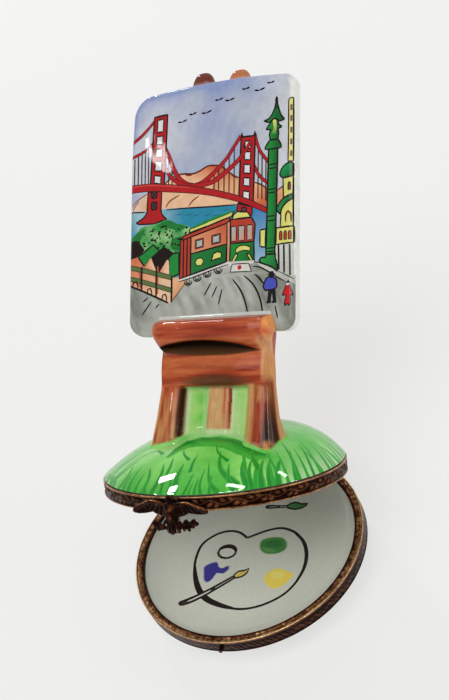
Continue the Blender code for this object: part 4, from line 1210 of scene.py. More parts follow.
def build_lid_rim():
    """A band of leaves between two thin beads, round the foot of the mound."""
    half = LID_HALF
    bottom = LID_RIM_BOTTOM
    top = LID_RIM_TOP
    profile = [(half - 2.0, bottom + 0.6), (half - 2.0, bottom), (half - 0.3, bottom),
               (half - 0.1, bottom + 0.08), (half, bottom + 0.2),
               (half - 0.03, bottom + 0.34), (half - 0.12, bottom + 0.42)]
    tones = [0.1, 0.25, 0.35, 0.6, 0.75, 0.5, 0.1]
    first = len(profile)
    for k in range(14):
        profile.append((half, bottom + 0.48 + (top - bottom - 0.95) * k / 13.0))
        tones.append(0.2)
    last = len(profile) - 1
    profile += [(half - 0.12, top - 0.42), (half - 0.03, top - 0.34), (half, top - 0.2),
                (half - 0.06, top - 0.06), (half - 0.2, top),
                (half - 0.7, top), (half - 0.8, top - 0.3), (half - 0.8, bottom + 0.6)]
    tones += [0.1, 0.45, 0.7, 0.8, 0.65, 0.25, 0.05, 0.0]
    face = OVAL * half
    lid_pads = [((CLASP_X - 1.2, -face - 0.32, 11.3), (CLASP_X + 1.2, -face + 0.4, 12.0)),
                ((-5.2, face - 0.8, 10.1), (5.2, face + LID_LEAF_GAP, 11.9))]
    rim = build_band("lid_rim_brass", profile, (first, last), leaf_relief, 30, 0.3, 1200, LID, "lid",
                     tones, lid_pads)
    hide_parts("lid_rim")
    return rim


# ---------------------------------------------------------------------------------------------
# The mound: points of its plan are on a unit disc

GRASS = paint("50c042")
GRASS_LIGHT = paint("8fe070")
GRASS_DARK = paint("28a034")
GRASS_DEEP = paint("1c8f2e")
GRASS_PALE = paint("b4dca4")


BLADE_TAPER = np.linspace(1.0, 0.0, 7) ** 0.7


def turf_height(x, y, rise):
    """The mound's height where it has risen by a share, with a low ridge of turf in front."""
    along = (x - RIDGE["x"]) / RIDGE["half_length"]
    across = (y - RIDGE["y"]) / RIDGE["half_depth"]
    ridge = RIDGE["height"] * np.exp(-(along**4) - across**2) * np.minimum(2.0 * rise, 1.0)
    return MOUND_Z + MOUND_HEIGHT * rise + ridge


def mound_surface(spots):
    """The mound over points of the unit disc."""
    reach = np.hypot(spots[:, 0], spots[:, 1])
    rise = 1.0 - unit(reach) ** MOUND_POWER
    x = MOUND_HALF * spots[:, 0]
    y = OVAL * MOUND_HALF * spots[:, 1] + MOUND_LEAN * rise
    return np.stack([x, y, turf_height(x, y, rise)], 1)


# The grass is drawn in millimetres seen from above, and PLAN_SCALE of them are one unit of the mound's disc.
PLAN_SCALE = 25.0
BROW = np.array([(-4.6, -16.4), (-3.7, -14.3), (-2.4, -12.7), (-0.1, -11.7), (3.5, -11.2), (6.7, -11.2),
                 (9.5, -11.8), (12.6, -12.3), (15.1, -11.1)]) / PLAN_SCALE


def mound_ground(spots):
    """Thin pale green at the sides and back, richer at the front, in loose horizontal washes."""
    drift = soft_noise(spots, 3.5, 4.0)
    light = unit(0.3 + 0.9 * drift + 0.5 * np.exp(-(((spots[:, 1] + 0.66) / 0.14) ** 2)))[:, None]
    grass = mix(GRASS, GRASS_LIGHT, light)
    shade = 0.4 * unit((-0.78 - spots[:, 1]) / 0.2)[:, None]
    grass = mix(grass, GRASS_DARK, shade)
    reach = np.hypot(spots[:, 0], spots[:, 1])
    pale = unit((reach - 0.78) / 0.22) * unit((np.abs(spots[:, 0]) - 0.45) / 0.5)
    pale = np.clip(pale + 0.5 * unit(spots[:, 1] - 0.1), 0.0, 0.85)[:, None]
    grass = mix(grass, GRASS_PALE, pale)
    behind = spots[:, 1] - np.interp(spots[:, 0], BROW[:, 0], BROW[:, 1])
    thin = unit(behind / 0.01) * unit(1.0 - behind / 0.5) * unit(1.4 - 2.0 * np.abs(spots[:, 0] - 0.12))
    thin = 0.85 * thin[:, None]
    return grass * (1.0 - thin) + (0.45 * GRASS_LIGHT + 0.55 * GRASS_PALE) * thin


def add_blade(art, path, half_width, colour):
    """A soft-edged stroke, wide and dark at its root."""
    for grow, share in ((1.15, 0.45), (0.75, 1.0)):
        root = mix(GRASS, colour, share)
        art.layers.append((ribbon(path, grow * half_width),
                           wash(root, 0.35 * GRASS + 0.65 * root, path[0], path[-1])))


def paint_blades(art):
    """Loose blades of grass that fan up from the rim, under a painted brow of turf in front."""
    strokes = np.random.default_rng(11)
    count = 96
    for k in range(count):
        angle = 2.0 * math.pi * (k + strokes.uniform(-0.3, 0.3)) / count
        length = strokes.uniform(0.18, 0.44)
        bend = strokes.uniform(-0.1, 0.14)
        width = strokes.uniform(0.02, 0.04)
        path = []
        for share in np.linspace(0.0, 1.0, 7):
            reach = 1.02 - length * share
            path.append((reach * math.cos(angle + bend * share**1.5),
                         reach * math.sin(angle + bend * share**1.5)))
        path = np.array(path)
        colour = GRASS_DARK if strokes.uniform() < 0.75 else GRASS_DEEP
        if abs(angle - 1.5 * math.pi) > 0.62:
            add_blade(art, path, 0.6 * width * BLADE_TAPER, colour)
    for grow, share, low in ((3.4, 0.3, 0.045), (2.0, 0.6, 0.03), (1.1, 1.0, 0.02)):
        ink = mix(GRASS, GRASS_DEEP, share)
        art.band(BROW - (0.0, low), tuple(grow * w for w in (0.01, 0.035, 0.045, 0.05, 0.045, 0.015)), ink)
    for root, tip, sway, width in (
        ((2.2, -25.0), (0.4, -19.1), 0.3, 0.05), ((4.2, -25.4), (3.8, -20.9), -0.2, 0.03),
        ((7.6, -25.6), (5.4, -21.4), 0.5, 0.035),
        ((12.6, -22.8), (5.4, -18.2), 0.9, 0.035), ((13.4, -20.2), (6.0, -15.0), 1.0, 0.045),
        ((15.2, -19.4), (11.5, -15.7), 0.6, 0.045),
        ((15.4, -15.7), (11.5, -12.3), 0.5, 0.04), ((-2.8, -25.0), (-4.2, -19.1), -0.5, 0.04),
        ((-0.4, -25.4), (-1.8, -21.2), 0.3, 0.028),
        ((-5.0, -25.0), (-7.0, -19.5), -0.5, 0.035), ((-8.0, -25.2), (-9.6, -18.0), 0.5, 0.035),
        ((-10.0, -24.0), (-11.0, -19.0), 0.4, 0.03),
        ((-12.4, -23.0), (-12.4, -17.0), -0.6, 0.03), ((-15.0, -21.4), (-19.0, -15.5), -0.6, 0.04),
        ((-6.4, -16.2), (-13.0, -15.2), -1.2, 0.022),
        ((10.2, -24.4), (7.6, -20.2), 0.4, 0.025), ((17.6, -18.0), (14.8, -13.2), 0.5, 0.05),
        ((19.8, -15.4), (17.4, -10.6), 0.5, 0.05),
        ((-17.6, -18.6), (-20.4, -13.4), -0.5, 0.035), ((-6.4, -25.4), (-7.4, -20.4), 0.4, 0.035),
        ((-3.8, -25.2), (-5.6, -21.6), 0.6, 0.03),
        ((-13.8, -22.4), (-16.2, -17.2), -0.4, 0.035), ((5.8, -25.6), (4.9, -22.2), 0.4, 0.025),
        ((1.0, -25.4), (-0.6, -22.0), -0.4, 0.025),
        ((9.2, -25.0), (5.6, -19.4), 0.8, 0.03), ((14.2, -21.4), (9.4, -17.2), 0.8, 0.04),
        ((16.4, -19.4), (12.8, -14.4), 0.6, 0.04),
        ((18.8, -16.8), (15.8, -12.0), 0.5, 0.04), ((3.0, -21.0), (2.0, -16.6), 0.3, 0.025),
        ((-1.6, -23.4), (-3.2, -17.4), -0.3, 0.03), ((1.0, -18.4), (-2.6, -14.6), 0.5, 0.02),
        ((9.0, -17.0), (4.0, -13.2), 0.7, 0.022),
    ):
        root, tip = np.array(root), np.array(tip)
        middle = (root + tip) / 2.0 + sway * np.array([root[1] - tip[1], tip[0] - root[0]]) * 0.2
        path = smooth_path([root / PLAN_SCALE, middle / PLAN_SCALE, tip / PLAN_SCALE], False, 0.03)
        taper = np.interp(np.linspace(0.0, 6.0, len(path)), np.arange(7.0), BLADE_TAPER)
        add_blade(art, path, 0.62 * width * taper, GRASS_DEEP)


def build_mound():
    art = Picture(mound_ground)
    paint_blades(art)
    circle = unit_circle(150)
    rings = [circle * k for k in (0.985, 0.965, 0.94, 0.91, 0.87)]
    shell = Shell(mound_surface, art.cut(circle, rings, 0.045), PORCELAIN)
    start = shell.spots[shell.loop]
    skirt = LID_HALF - 1.1
    inner = skirt - MOUND_WALL
    section = [(skirt, MOUND_Z - 0.1), (skirt, SKIRT_BOTTOM), (inner, SKIRT_BOTTOM)]
    for share in (1.0, 0.98, 0.93, 0.86, 0.76, 0.62, 0.45, 0.25):
        section.append((inner * share, MOUND_Z + (MOUND_HEIGHT - MOUND_WALL) * (1.0 - share**MOUND_POWER)))
    for radius, z in section:
        rise = max((z - MOUND_Z) / MOUND_HEIGHT, 0.0)
        shell.add_ring([radius * x, OVAL * radius * y + MOUND_LEAN * rise, z] for x, y in start)
    mound = shell.close("grass_mound", LID, "lid", glazed("grass_glaze", scale=500.0))
    set_normals(mound, surface_normals(mound_surface, shell.spots * 0.999, 0.002))
    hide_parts("lid_mound")
    return mound


# ---------------------------------------------------------------------------------------------
# The easel: one porcelain casting, in the easel's own (across, depth, up) frame

WOOD = paint("b0482c")
WOOD_LIGHT = paint("cf7446")
WOOD_DARK = paint("7a2616")
WOOD_TAN = paint("cf9a5e")
WOOD_ORANGE = paint("e8995a")
WOOD_BLACK = paint("1a0b07")
WOOD_UMBER = paint("4a2c17")
WEB_GREEN = paint("a8dd7c")
WEB_BRIGHT = paint("63c83a")


def between(value, low, high, soft=0.4):
    return unit((value - low) / soft + 0.5) * unit((high - value) / soft + 0.5)


def lay(colours, mask, colour):
    """Paints one colour over the others where the mask says."""
    mask = unit(mask)[:, None]
    colours += (colour - colours) * mask


def mound_height(x, y):
    """Height of the mound over points of the closed lid's plan."""
    rise = np.ones(len(x))
    for _ in range(12):
        reach = np.hypot(x / MOUND_HALF, (y - MOUND_LEAN * rise) / (OVAL * MOUND_HALF))
        rise = 1.0 - unit(reach) ** MOUND_POWER
    return turf_height(x, y, rise)


def to_lid(points):
    """Points of the easel's frame in the closed lid's."""
    x, depth, up = np.asarray(points, float).T
    y = CANVAS_Y + depth * math.cos(LEAN) + up * math.sin(LEAN)
    z = CANVAS_Z + up * math.cos(LEAN) - depth * math.sin(LEAN)
    return np.stack([x, y, z], 1)


def above_mound(points):
    lid = to_lid(points)
    return lid[:, 2] - mound_height(lid[:, 0], lid[:, 1])


def foot_ring(outline, clear):
    """Sets each (x, depth) point down to a height over the mound."""
    ups = np.full(len(outline), -15.0)
    for _ in range(30):
        points = np.column_stack([outline, ups])
        ups = ups - (above_mound(points) - clear) * 0.8
    return np.column_stack([outline, ups])


def rounded_bar(inner, outer, front, back, edge):
    """An upright's (x, depth) section with rounded corners."""
    half = abs(outer - inner) / 2.0
    middle = (inner + outer) / 2.0
    ring = []
    for sign_x, sign_d, first in ((1, -1, -90), (1, 1, 0), (-1, 1, 90), (-1, -1, 180)):
        centre_x = middle + sign_x * (half - edge)
        centre_d = (front + edge) if sign_d < 0 else (back - edge)
        for step in range(4):
            angle = math.radians(first + 30.0 * step)
            ring.append((centre_x + edge * math.cos(angle), centre_d + edge * math.sin(angle)))
    return np.array(ring)


def loft(rings):
    """Points and faces of a solid through rings of equal count, closed at both ends."""
    count = len(rings[0])
    points = np.concatenate(rings)
    faces = ring_faces(count, len(rings), False)
    faces.append(tuple(reversed(range(count))))
    faces.append(tuple(range((len(rings) - 1) * count, len(rings) * count)))
    return points, faces


def level(outline, up):
    return np.column_stack([outline, np.full(len(outline), up)])


def leg_middle(up):
    return BLOCK_X + (up - FOOT_UP) / (CANVAS_TALL - FOOT_UP) * (MAST_X - BLOCK_X)


def leg_solid(side, tip):
    extra = 0.9 if side < 0.0 else 0.0
    rings = []
    for spread, clear in ((1.1, -0.35), (0.45, 0.25), (0.1, 0.9)):
        foot = rounded_bar(BLOCK_X + side * (8.5 - extra - spread), BLOCK_X + side * (14.0 + spread),
                           -2.0 - spread, 5.9 + spread, 1.5)
        rings.append(foot_ring(foot, clear))
    for up, inner, outer, front, back, edge in (
        (-17.0, 8.3 - extra, 13.4, -1.3, 5.3, 1.5), (-11.5, 8.1 - extra, 12.9, -0.4, 4.9, 1.4),
        (-4.3, 7.9 - extra, 12.5, 0.0, 5.0, 1.2),
        (0.6, 7.6, 12.1, 0.4, 6.2, 0.7), (1.6, 7.5, 12.0, 2.6, 6.3, 0.7), (26.0, 4.8, 9.6, 2.8, 6.3, 0.8),
        (tip - 3.9, 1.9, 7.0, 2.9, 6.35, 1.1), (tip - 2.2, 2.0, 6.9, 3.0, 6.3, 1.3),
        (tip - 1.0, 2.4, 6.5, 3.3, 6.1, 1.3),
        (tip - 0.3, 3.0, 5.9, 3.8, 5.8, 0.9), (tip, 3.6, 5.3, 4.4, 5.4, 0.45),
    ):
        middle = leg_middle(up)
        rings.append(level(rounded_bar(middle + side * inner, middle + side * outer, front, back, edge),
                           up))
    return loft(rings)


def web_solid():
    rings = []
    for x in np.linspace(BLOCK_X - 8.2, BLOCK_X + 8.2, 13):
        section = [(1.2, 0.5), (1.2, -11.3), (0.7, -16.0)]
        feet = foot_ring(np.array([(x, 0.1), (x, -0.6), (x, -1.6), (x, 6.2), (x, 4.8)]), 0.0)
        ups = feet[:, 2] + np.array([1.1, 0.35, -0.3, -0.3, 1.0])
        depths = feet[:, 1]
        section += list(zip(depths, ups))
        section += [(3.4, -14.0), (3.4, 0.5)]
        rings.append(np.array([(x, depth, up) for depth, up in section]))
    return loft(rings)


def post_solid():
    left, right = BLOCK_X + 1.4 - 2.5, BLOCK_X + 1.4 + 2.5
    rings = []
    for spread, clear in ((0.7, -0.3), (0.2, 0.4), (0.0, 1.1)):
        rings.append(foot_ring(rounded_bar(left - 0.3 - spread, right + 0.2 + spread, -0.7 - spread, 1.9,
                                           0.8), clear))
    rings.append(level(rounded_bar(left, right, -0.1, 2.4, 0.5), -11.3))
    rings.append(level(rounded_bar(left, right, -0.1, 2.4, 0.5), -3.0))
    return loft(rings)


def apron_solid():
    section = ((2.0, 0.0), (0.4, 0.0), (0.6, 0.12), (0.86, 0.3), (1.0, 0.48), (0.95, 0.64), (0.72, 0.8),
               (0.35, 0.93), (2.0, 1.0))
    rings = []
    for share in np.linspace(-1.0, 1.0, 25):
        x = BLOCK_X + 12.35 * share
        bow = 0.75 + 1.05 * (1.0 - share * share)
        ring = []
        for k, (out, down) in enumerate(section):
            depth = out if k in (0, len(section) - 1) else -bow * out
            ring.append((x, depth, -3.4 - 7.9 * down))
        rings.append(np.array(ring))
    return loft(rings)


def ledge_solid():
    """The thick ledge: a swelling front, tapered ends, an arched lower edge and a cove under it."""
    rings = []
    for share in np.linspace(-1.0, 1.0, 41):
        arch = -3.3 + 1.9 * (1.0 - share * share)
        end = max(1.0 - abs(share) ** 9, 0.0) ** 0.5
        section = [(2.5, 4.3), (0.1, 4.2), (-0.35, 3.6), (-1.1, 3.1), (-2.2, 2.85), (-3.1, 2.6),
                   (-3.7, 2.0), (-4.0, 1.1), (-4.0, 0.0),
                   (-3.9, 0.5 * arch), (-3.6, arch + 0.3), (-2.9, arch - 0.15), (-1.9, arch - 0.6),
                   (-1.2, -4.3), (-0.8, -4.7), (2.5, -4.7)]
        ring = []
        for depth, up in section:
            half = 14.4 - 2.6 * unit(-up / 3.6) - 0.9 * unit((up - 1.6) / 2.0)
            ring.append((BLOCK_X + half * share, depth * (end if depth < 0 else 1.0), up))
        rings.append(np.array(ring))
    return loft(rings)


def bar_solid(low, high, edge):
    """A level bar along x from its low to its high corner."""
    rings = []
    for x in (low[0], high[0]):
        flat = rounded_bar(low[1], high[1], low[2], high[2], edge)
        rings.append(np.array([(x, depth, up) for depth, up in flat]))
    return loft(rings)


def prop_solid():
    rings = []
    for spread, clear in ((0.9, -0.3), (0.35, 0.3), (0.0, 1.0)):
        rings.append(foot_ring(rounded_bar(0.6 - 2.1 - spread, 0.6 + 2.1 + spread, 19.6 - spread,
                                           22.8 + spread, 0.6), clear))
    rings.append(level(rounded_bar(0.6 - 1.9, 0.6 + 1.9, 8.7, 11.2, 0.6), 24.0))
    rings.append(level(rounded_bar(0.6 - 1.8, 0.6 + 1.8, 8.5, 10.9, 0.6), 28.2))
    return loft(rings)


def fused(name, solids, voxel, passes):
    """Melts solids into one skin, as slip-cast pieces are luted and glazed together."""
    points = []
    faces = []
    for solid_points, solid_faces in solids:
        first = sum(len(p) for p in points)
        points.append(np.asarray(solid_points, float))
        faces.extend(tuple(first + i for i in face) for face in solid_faces)
    mesh = new_mesh(name, np.concatenate(points), faces)
    face_outwards(mesh)
    obj = bpy.data.objects.new(name, mesh)
    bpy.context.scene.collection.objects.link(obj)
    remesh = obj.modifiers.new("melt", "REMESH")
    remesh.mode = "VOXEL"
    remesh.voxel_size = voxel * MM
    relax = obj.modifiers.new("relax", "SMOOTH")
    relax.factor = 0.5
    relax.iterations = passes
    bpy.context.view_layer.update()
    result = bpy.data.meshes.new_from_object(obj.evaluated_get(bpy.context.evaluated_depsgraph_get()))
    bpy.data.objects.remove(obj)
    result.shade_smooth()
    return result


def mesh_arrays(mesh):
    points = np.empty(len(mesh.vertices) * 3)
    mesh.vertices.foreach_get("co", points)
    normals = np.array([tuple(n.vector) for n in mesh.vertex_normals])
    return points.reshape(-1, 3) / MM, normals


def streaks(points, along, across, seed):
    """Noise drawn out along one direction of the easel: brush marks."""
    stretched = points * np.array([along, across, across])
    return np.array([noise.noise(Vector((x, d, u + seed))) for x, d, u in stretched])


def easel_paint(points, normals):
    """Brush-painted wood, with the web in pale green and the feet running into the grass."""
    x, depth, up = points.T
    level_marks = streaks(points, 0.07, 0.9, 3.0)
    level_fine = streaks(points, 0.12, 2.6, 8.0)
    upright = np.array([noise.noise(Vector((1.1 * a, 1.1 * d, 0.07 * u))) for a, d, u in points])
    upright_fine = np.array([noise.noise(Vector((3.4 * a, 3.4 * d, 0.16 * u + 4.0))) for a, d, u in points])
    block = between(up, -10.8, 60.0, 0.6) * (depth < 2.4)
    marks = np.where(block > 0.5, level_marks + 0.45 * level_fine, upright + 0.5 * upright_fine)
    colours = np.tile(WOOD, (len(points), 1))
    lay(colours, np.clip(0.15 + marks, 0.0, 0.8), WOOD_LIGHT)
    lay(colours, np.clip(-marks * 1.1, 0.0, 0.8), WOOD_DARK)

    # The legs below the apron: tan at the outer edge, red-brown in the middle.
    legs = np.where(depth < 2.4, between(up, -40.0, -10.6, 0.5), unit((-up - 11.0) / 9.0))
    left = legs * (x < BLOCK_X - 6.0)
    right = legs * (x > BLOCK_X + 6.0)
    lay(colours, left * (0.55 + 0.9 * upright) * unit((-up - 11.5) / 5.0), WOOD_TAN)
    lay(colours, left * unit((-10.4 - x - 0.2 * (-up - 11.0)) / 1.2), WOOD_TAN)
    lay(colours, right * between(x, 9.0, 11.2, 0.8), WOOD_TAN)
    lay(colours, right * between(up, -14.0, -10.6, 1.5) * 0.6, WOOD_TAN)
    # Painted shade on the left leg's inner side, which faces the web: a dark umber band along its inner edge
    # and dark brown on the faces turned inwards.
    inner_side_shade = left * unit(normals[:, 0] * 2.0 - 0.6)
    lay(colours, left * (depth < 2.4) * between(x, -6.6, -3.0, 2.2) * unit((-up - 10.6) / 1.0) * 0.8,
        WOOD_UMBER * 0.7)
    lay(colours, inner_side_shade, paint("3a1d10"))
    lay(colours, right * between(x, 11.0, 13.4, 1.2) * np.clip(0.35 + 1.5 * upright, 0.0, 0.9),
        paint("8c3217"))
    lay(colours, right * unit((x - 13.0) / 1.0) * unit((-up - 12.0) / 5.0), WOOD_BLACK * 1.8)
    lay(colours, right * unit((-up - 21.6) / 0.9) * unit((x - 13.5) / 1.2), WOOD_ORANGE)
    # Painted shade on the right leg's outer side, the faces turned to the right: brown above, darker below,
    # with tan towards its back.
    outer_side_shade = between(up, -40.0, -4.0, 2.0) * (x > 10.4) * unit(normals[:, 0] * 2.2 - 0.8)
    low = unit((-up - 11.0) / 8.0)[:, None]
    lay(colours, outer_side_shade * (0.85 + 0.4 * upright), mix(paint("8a4526"), paint("42200f"), low))
    lay(colours, outer_side_shade * between(depth, 2.6, 9.0, 1.0), paint("cf9468"))

    # The web and the middle upright.
    web = (between(up, -40.0, -10.9, 0.4) * between(x, BLOCK_X - 6.8, BLOCK_X + 7.7, 0.5)
           * (np.abs(normals[:, 0]) < 0.75) * (depth < 8.0))
    post = between(x, BLOCK_X - 1.2, BLOCK_X + 4.1, 0.35) * (depth < 0.85) * between(up, -19.6, -8.0, 0.5)
    patch = (np.exp(-(((x + 2.0) / 1.7) ** 2) - ((up + 13.2) / 1.6) ** 2)
             + np.exp(-(((x + 1.6) / 1.7) ** 2) - ((up + 17.4) / 1.5) ** 2))
    lay(colours, web, WEB_GREEN)
    lay(colours, web * 0.85 * patch * (depth < 2.4), WEB_BRIGHT)
    lay(colours, web * 0.4 * unit(upright), WHITE)
    rims = (between(x, BLOCK_X - 6.6, BLOCK_X + 7.4, 0.3) - between(x, BLOCK_X - 5.8, BLOCK_X - 1.7, 0.9)
            - between(x, BLOCK_X + 4.8, BLOCK_X + 7.3, 0.9))
    lay(colours, 0.6 * web * (depth < 2.4) * unit(rims), paint("d3e2b6"))
    lay(colours, web * post, paint("d2ab74"))
    lay(colours, web * post * unit(0.3 + 1.4 * upright) * between(x, 3.9, 5.5, 0.5), WOOD)
    lay(colours, web * post * np.clip(upright_fine * 1.6, 0.0, 0.6), WOOD_LIGHT)

    # The block: the ledge's ends and top, dark paint and painted shade under the ledge, painted shade at the
    # foot of the apron and a painted highlight along its bulge.
    front = (depth < 2.4) * between(up, -11.6, 4.8, 0.3)
    lay(colours, front * unit((-12.0 - x) / 0.8), WOOD_ORANGE)
    lay(colours, front * unit((x - 13.7) / 0.5) * between(up, -4.5, 3.3, 1.0), WOOD_ORANGE)
    lay(colours, np.exp(-(((x - 14.4) / 0.8) ** 2) - ((up + 0.2) / 0.8) ** 2) * front, paint("d2603a"))
    # Under the ledge, partly the easel's own dark paint and partly painted shade of the overhang: near black
    # at the top, browner lower down.
    share = np.clip((x - 0.8) / 12.6, -1.0, 1.0)
    cove_top = -3.5 + 2.0 * (1.0 - share * share) - 0.5 * share
    cove_low = -3.5 - 1.1 * (1.0 - share * share) - 0.2 * share
    shade_share = unit((cove_top - up) / (cove_top - cove_low + 0.01))
    cove = front * between(up, cove_low, cove_top, 0.35) * between(x, -11.4, 13.4, 0.8)
    lay(colours, cove, WOOD_BLACK * 0.5)
    lay(colours, cove * unit(1.5 * shade_share - 0.45), paint("553a22"))
    # Painted shade at the foot of the apron, where it curves back under to the web.
    lens = front * unit(1.25 - ((x - 2.2) / 8.2) ** 2 - ((up + 9.9) / 1.5) ** 2)
    lay(colours, 0.85 * lens, paint("54371f"))
    # A painted highlight along the upper face of the apron's bulge.
    apron_highlight = front * unit(1.2 - ((x - 1.2) / 11.0) ** 2 - ((up + 6.2) / 1.7) ** 2)
    lay(colours, 0.3 * apron_highlight, paint("cf7c4c"))
    corner = between(x, 12.7, 17.0, 0.5) * between(up, -9.5, -1.5, 2.0) * (depth < 3.2)
    lay(colours, corner * (0.8 + 0.4 * upright), paint("d89a66"))
    top = between(up, 3.25, 9.0, 0.3) * (depth < 1.5)
    lay(colours, top, STREET_PALE)

    # The tips fade to bare porcelain where they meet the canvas, and the feet fade into the grass.
    tips = between(up, 49.5, 54.2, 2.5)
    pegs = between(up, 52.9, 70.0, 0.8)
    lay(colours, tips * 0.9, WHITE)
    lay(colours, pegs * unit((up - 53.3) / 1.6),
        np.where((x < 0.0)[:, None], paint("70352a"), paint("bb7347")))
    near = above_mound(points)
    lid = to_lid(points)
    rise = unit((mound_height(lid[:, 0], lid[:, 1]) - MOUND_Z) / MOUND_HEIGHT)
    plan = np.stack([lid[:, 0] / MOUND_HALF, (lid[:, 1] - MOUND_LEAN * rise) / (OVAL * MOUND_HALF)], 1)
    ragged = 0.7 + 0.12 * upright
    turf = unit((ragged - near) / 0.4)[:, None]
    panel = front * between(up, -10.6, -4.4, 0.6)
    gloss = 1.0 - 0.9 * unit(cove + outer_side_shade * (depth > 0.3) + 0.6 * inner_side_shade + 0.55 * panel)
    return colours * (1.0 - turf) + mound_ground(plan) * turf, gloss


# Heights up the easel, in millimetres: the tips of its uprights and the middle of its crossbar.
LEFT_TIP_UP = 57.2
RIGHT_TIP_UP = 56.5
CROSSBAR_UP = 26.0


def build_easel():
    solids = [leg_solid(-1.0, LEFT_TIP_UP), leg_solid(1.0, RIGHT_TIP_UP), web_solid(), post_solid(),
              apron_solid(), ledge_solid(),
              bar_solid((leg_middle(CROSSBAR_UP) - 9.2, 5.8, CROSSBAR_UP - 1.9),
                        (leg_middle(CROSSBAR_UP) + 9.2, 8.7, CROSSBAR_UP + 1.9), 0.6), prop_solid()]
    mesh = fused("easel_casting", solids, 0.26, 7)
    points, normals = mesh_arrays(mesh)
    colours, gloss = easel_paint(points, normals)
    material = glazed("easel_glaze", (1.0, 1.0, 1.0), 600.0, 0.92, 1.07)
    easel = place_mesh("easel_casting", mesh, "POINT", colours, EASEL, "lid", material, gloss)
    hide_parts("leg_left", "leg_right", "easel_web", "centre_post", "apron", "canvas_ledge",
                "back_crossbar", "back_prop")
    return easel


# ---------------------------------------------------------------------------------------------
# The clasp: a spread-winged bird in cast brass. Its points are (across, up) in the closed lid's
# frame, from the clasp's own middle, with a depth in front of the rim.

BIRD_FACE = -26.55


def lozenge(start, end, width, thick, out=0.0):
    """A long rounded drop of metal between two points, lying flat to the rim."""
    start, end = np.array(start, float), np.array(end, float)
    run = (end - start) / 2.0
    reach = np.linalg.norm(run)
    side = np.array([-run[1], run[0]]) / reach * width / 2.0
    middle = (start + end) / 2.0
    points = []
    turns, bands = 10, 7
    for band in range(bands + 1):
        polar = math.pi * band / bands
        along, round_ = -math.cos(polar), math.sin(polar)
        for turn in range(turns):
            angle = 2.0 * math.pi * turn / turns
            flat = middle + run * along + side * round_ * math.cos(angle)
            points.append((CLASP_X + flat[0], BIRD_FACE - out + thick / 2.0 * round_ * math.sin(angle),
                           flat[1]))
    faces = []
    for band in range(bands):
        for turn in range(turns):
            low, after = band * turns, (turn + 1) % turns
            faces.append((low + turn, low + after, low + turns + after, low + turns + turn))
    return points, faces


def wing_solids(side, tip, wrist):
    """A wing as its leading edge and three overlapping ranks of feathers."""
    shoulder = np.array((0.45 + side * 0.9, 11.6))
    wrist, tip = np.array(wrist), np.array(tip)
    solids = [lozenge(shoulder - (side * 0.5, 0.4), wrist + (side * 0.4, 0.0), 0.8, 1.0, 0.15),
              lozenge(wrist - (side * 0.5, -0.05), tip, 0.5, 0.7, 0.1)]
    solids += [lozenge(shoulder - (side * 1.4, 2.0), wrist + (side * 0.6, -0.9), 2.6, 0.5, -0.15),
               lozenge(wrist - (side * 2.2, 1.3), tip + (0.0, -0.15), 1.5, 0.45, -0.15)]
    for k in range(8):
        share = k / 7.0
        root = (shoulder + (wrist - shoulder) * min(share * 1.5, 1.0) + (tip - wrist)
                * max(share * 1.5 - 1.0, 0.0) * 1.1)
        fall = np.array((side * (0.5 + 2.2 * share), -2.75 + 1.75 * share))
        end = root + fall
        if k == 7:
            end = tip + (0.0, -0.1)
        solids.append(lozenge(root, end, 0.95, 0.55, -0.05 * (k % 2)))
        solids.append(lozenge(root + (0.0, 0.05), root + 0.6 * fall, 0.62, 0.55, 0.14))
        if k < 6:
            solids.append(lozenge(root, root + 0.36 * fall, 0.55, 0.5, 0.3))
    return solids


def boss():
    """The short post that joins the bird to the tongue behind it."""
    turns = 12
    rings = [[(CLASP_X + 0.4 + 0.7 * math.cos(2.0 * math.pi * k / turns), y,
               9.8 + 0.9 * math.sin(2.0 * math.pi * k / turns))
              for k in range(turns)] for y in (-26.6, -25.57)]
    faces = [(k, (k + 1) % turns, turns + (k + 1) % turns, turns + k) for k in range(turns)]
    return rings[0] + rings[1], faces + [tuple(range(turns)), tuple(range(turns, 2 * turns))]


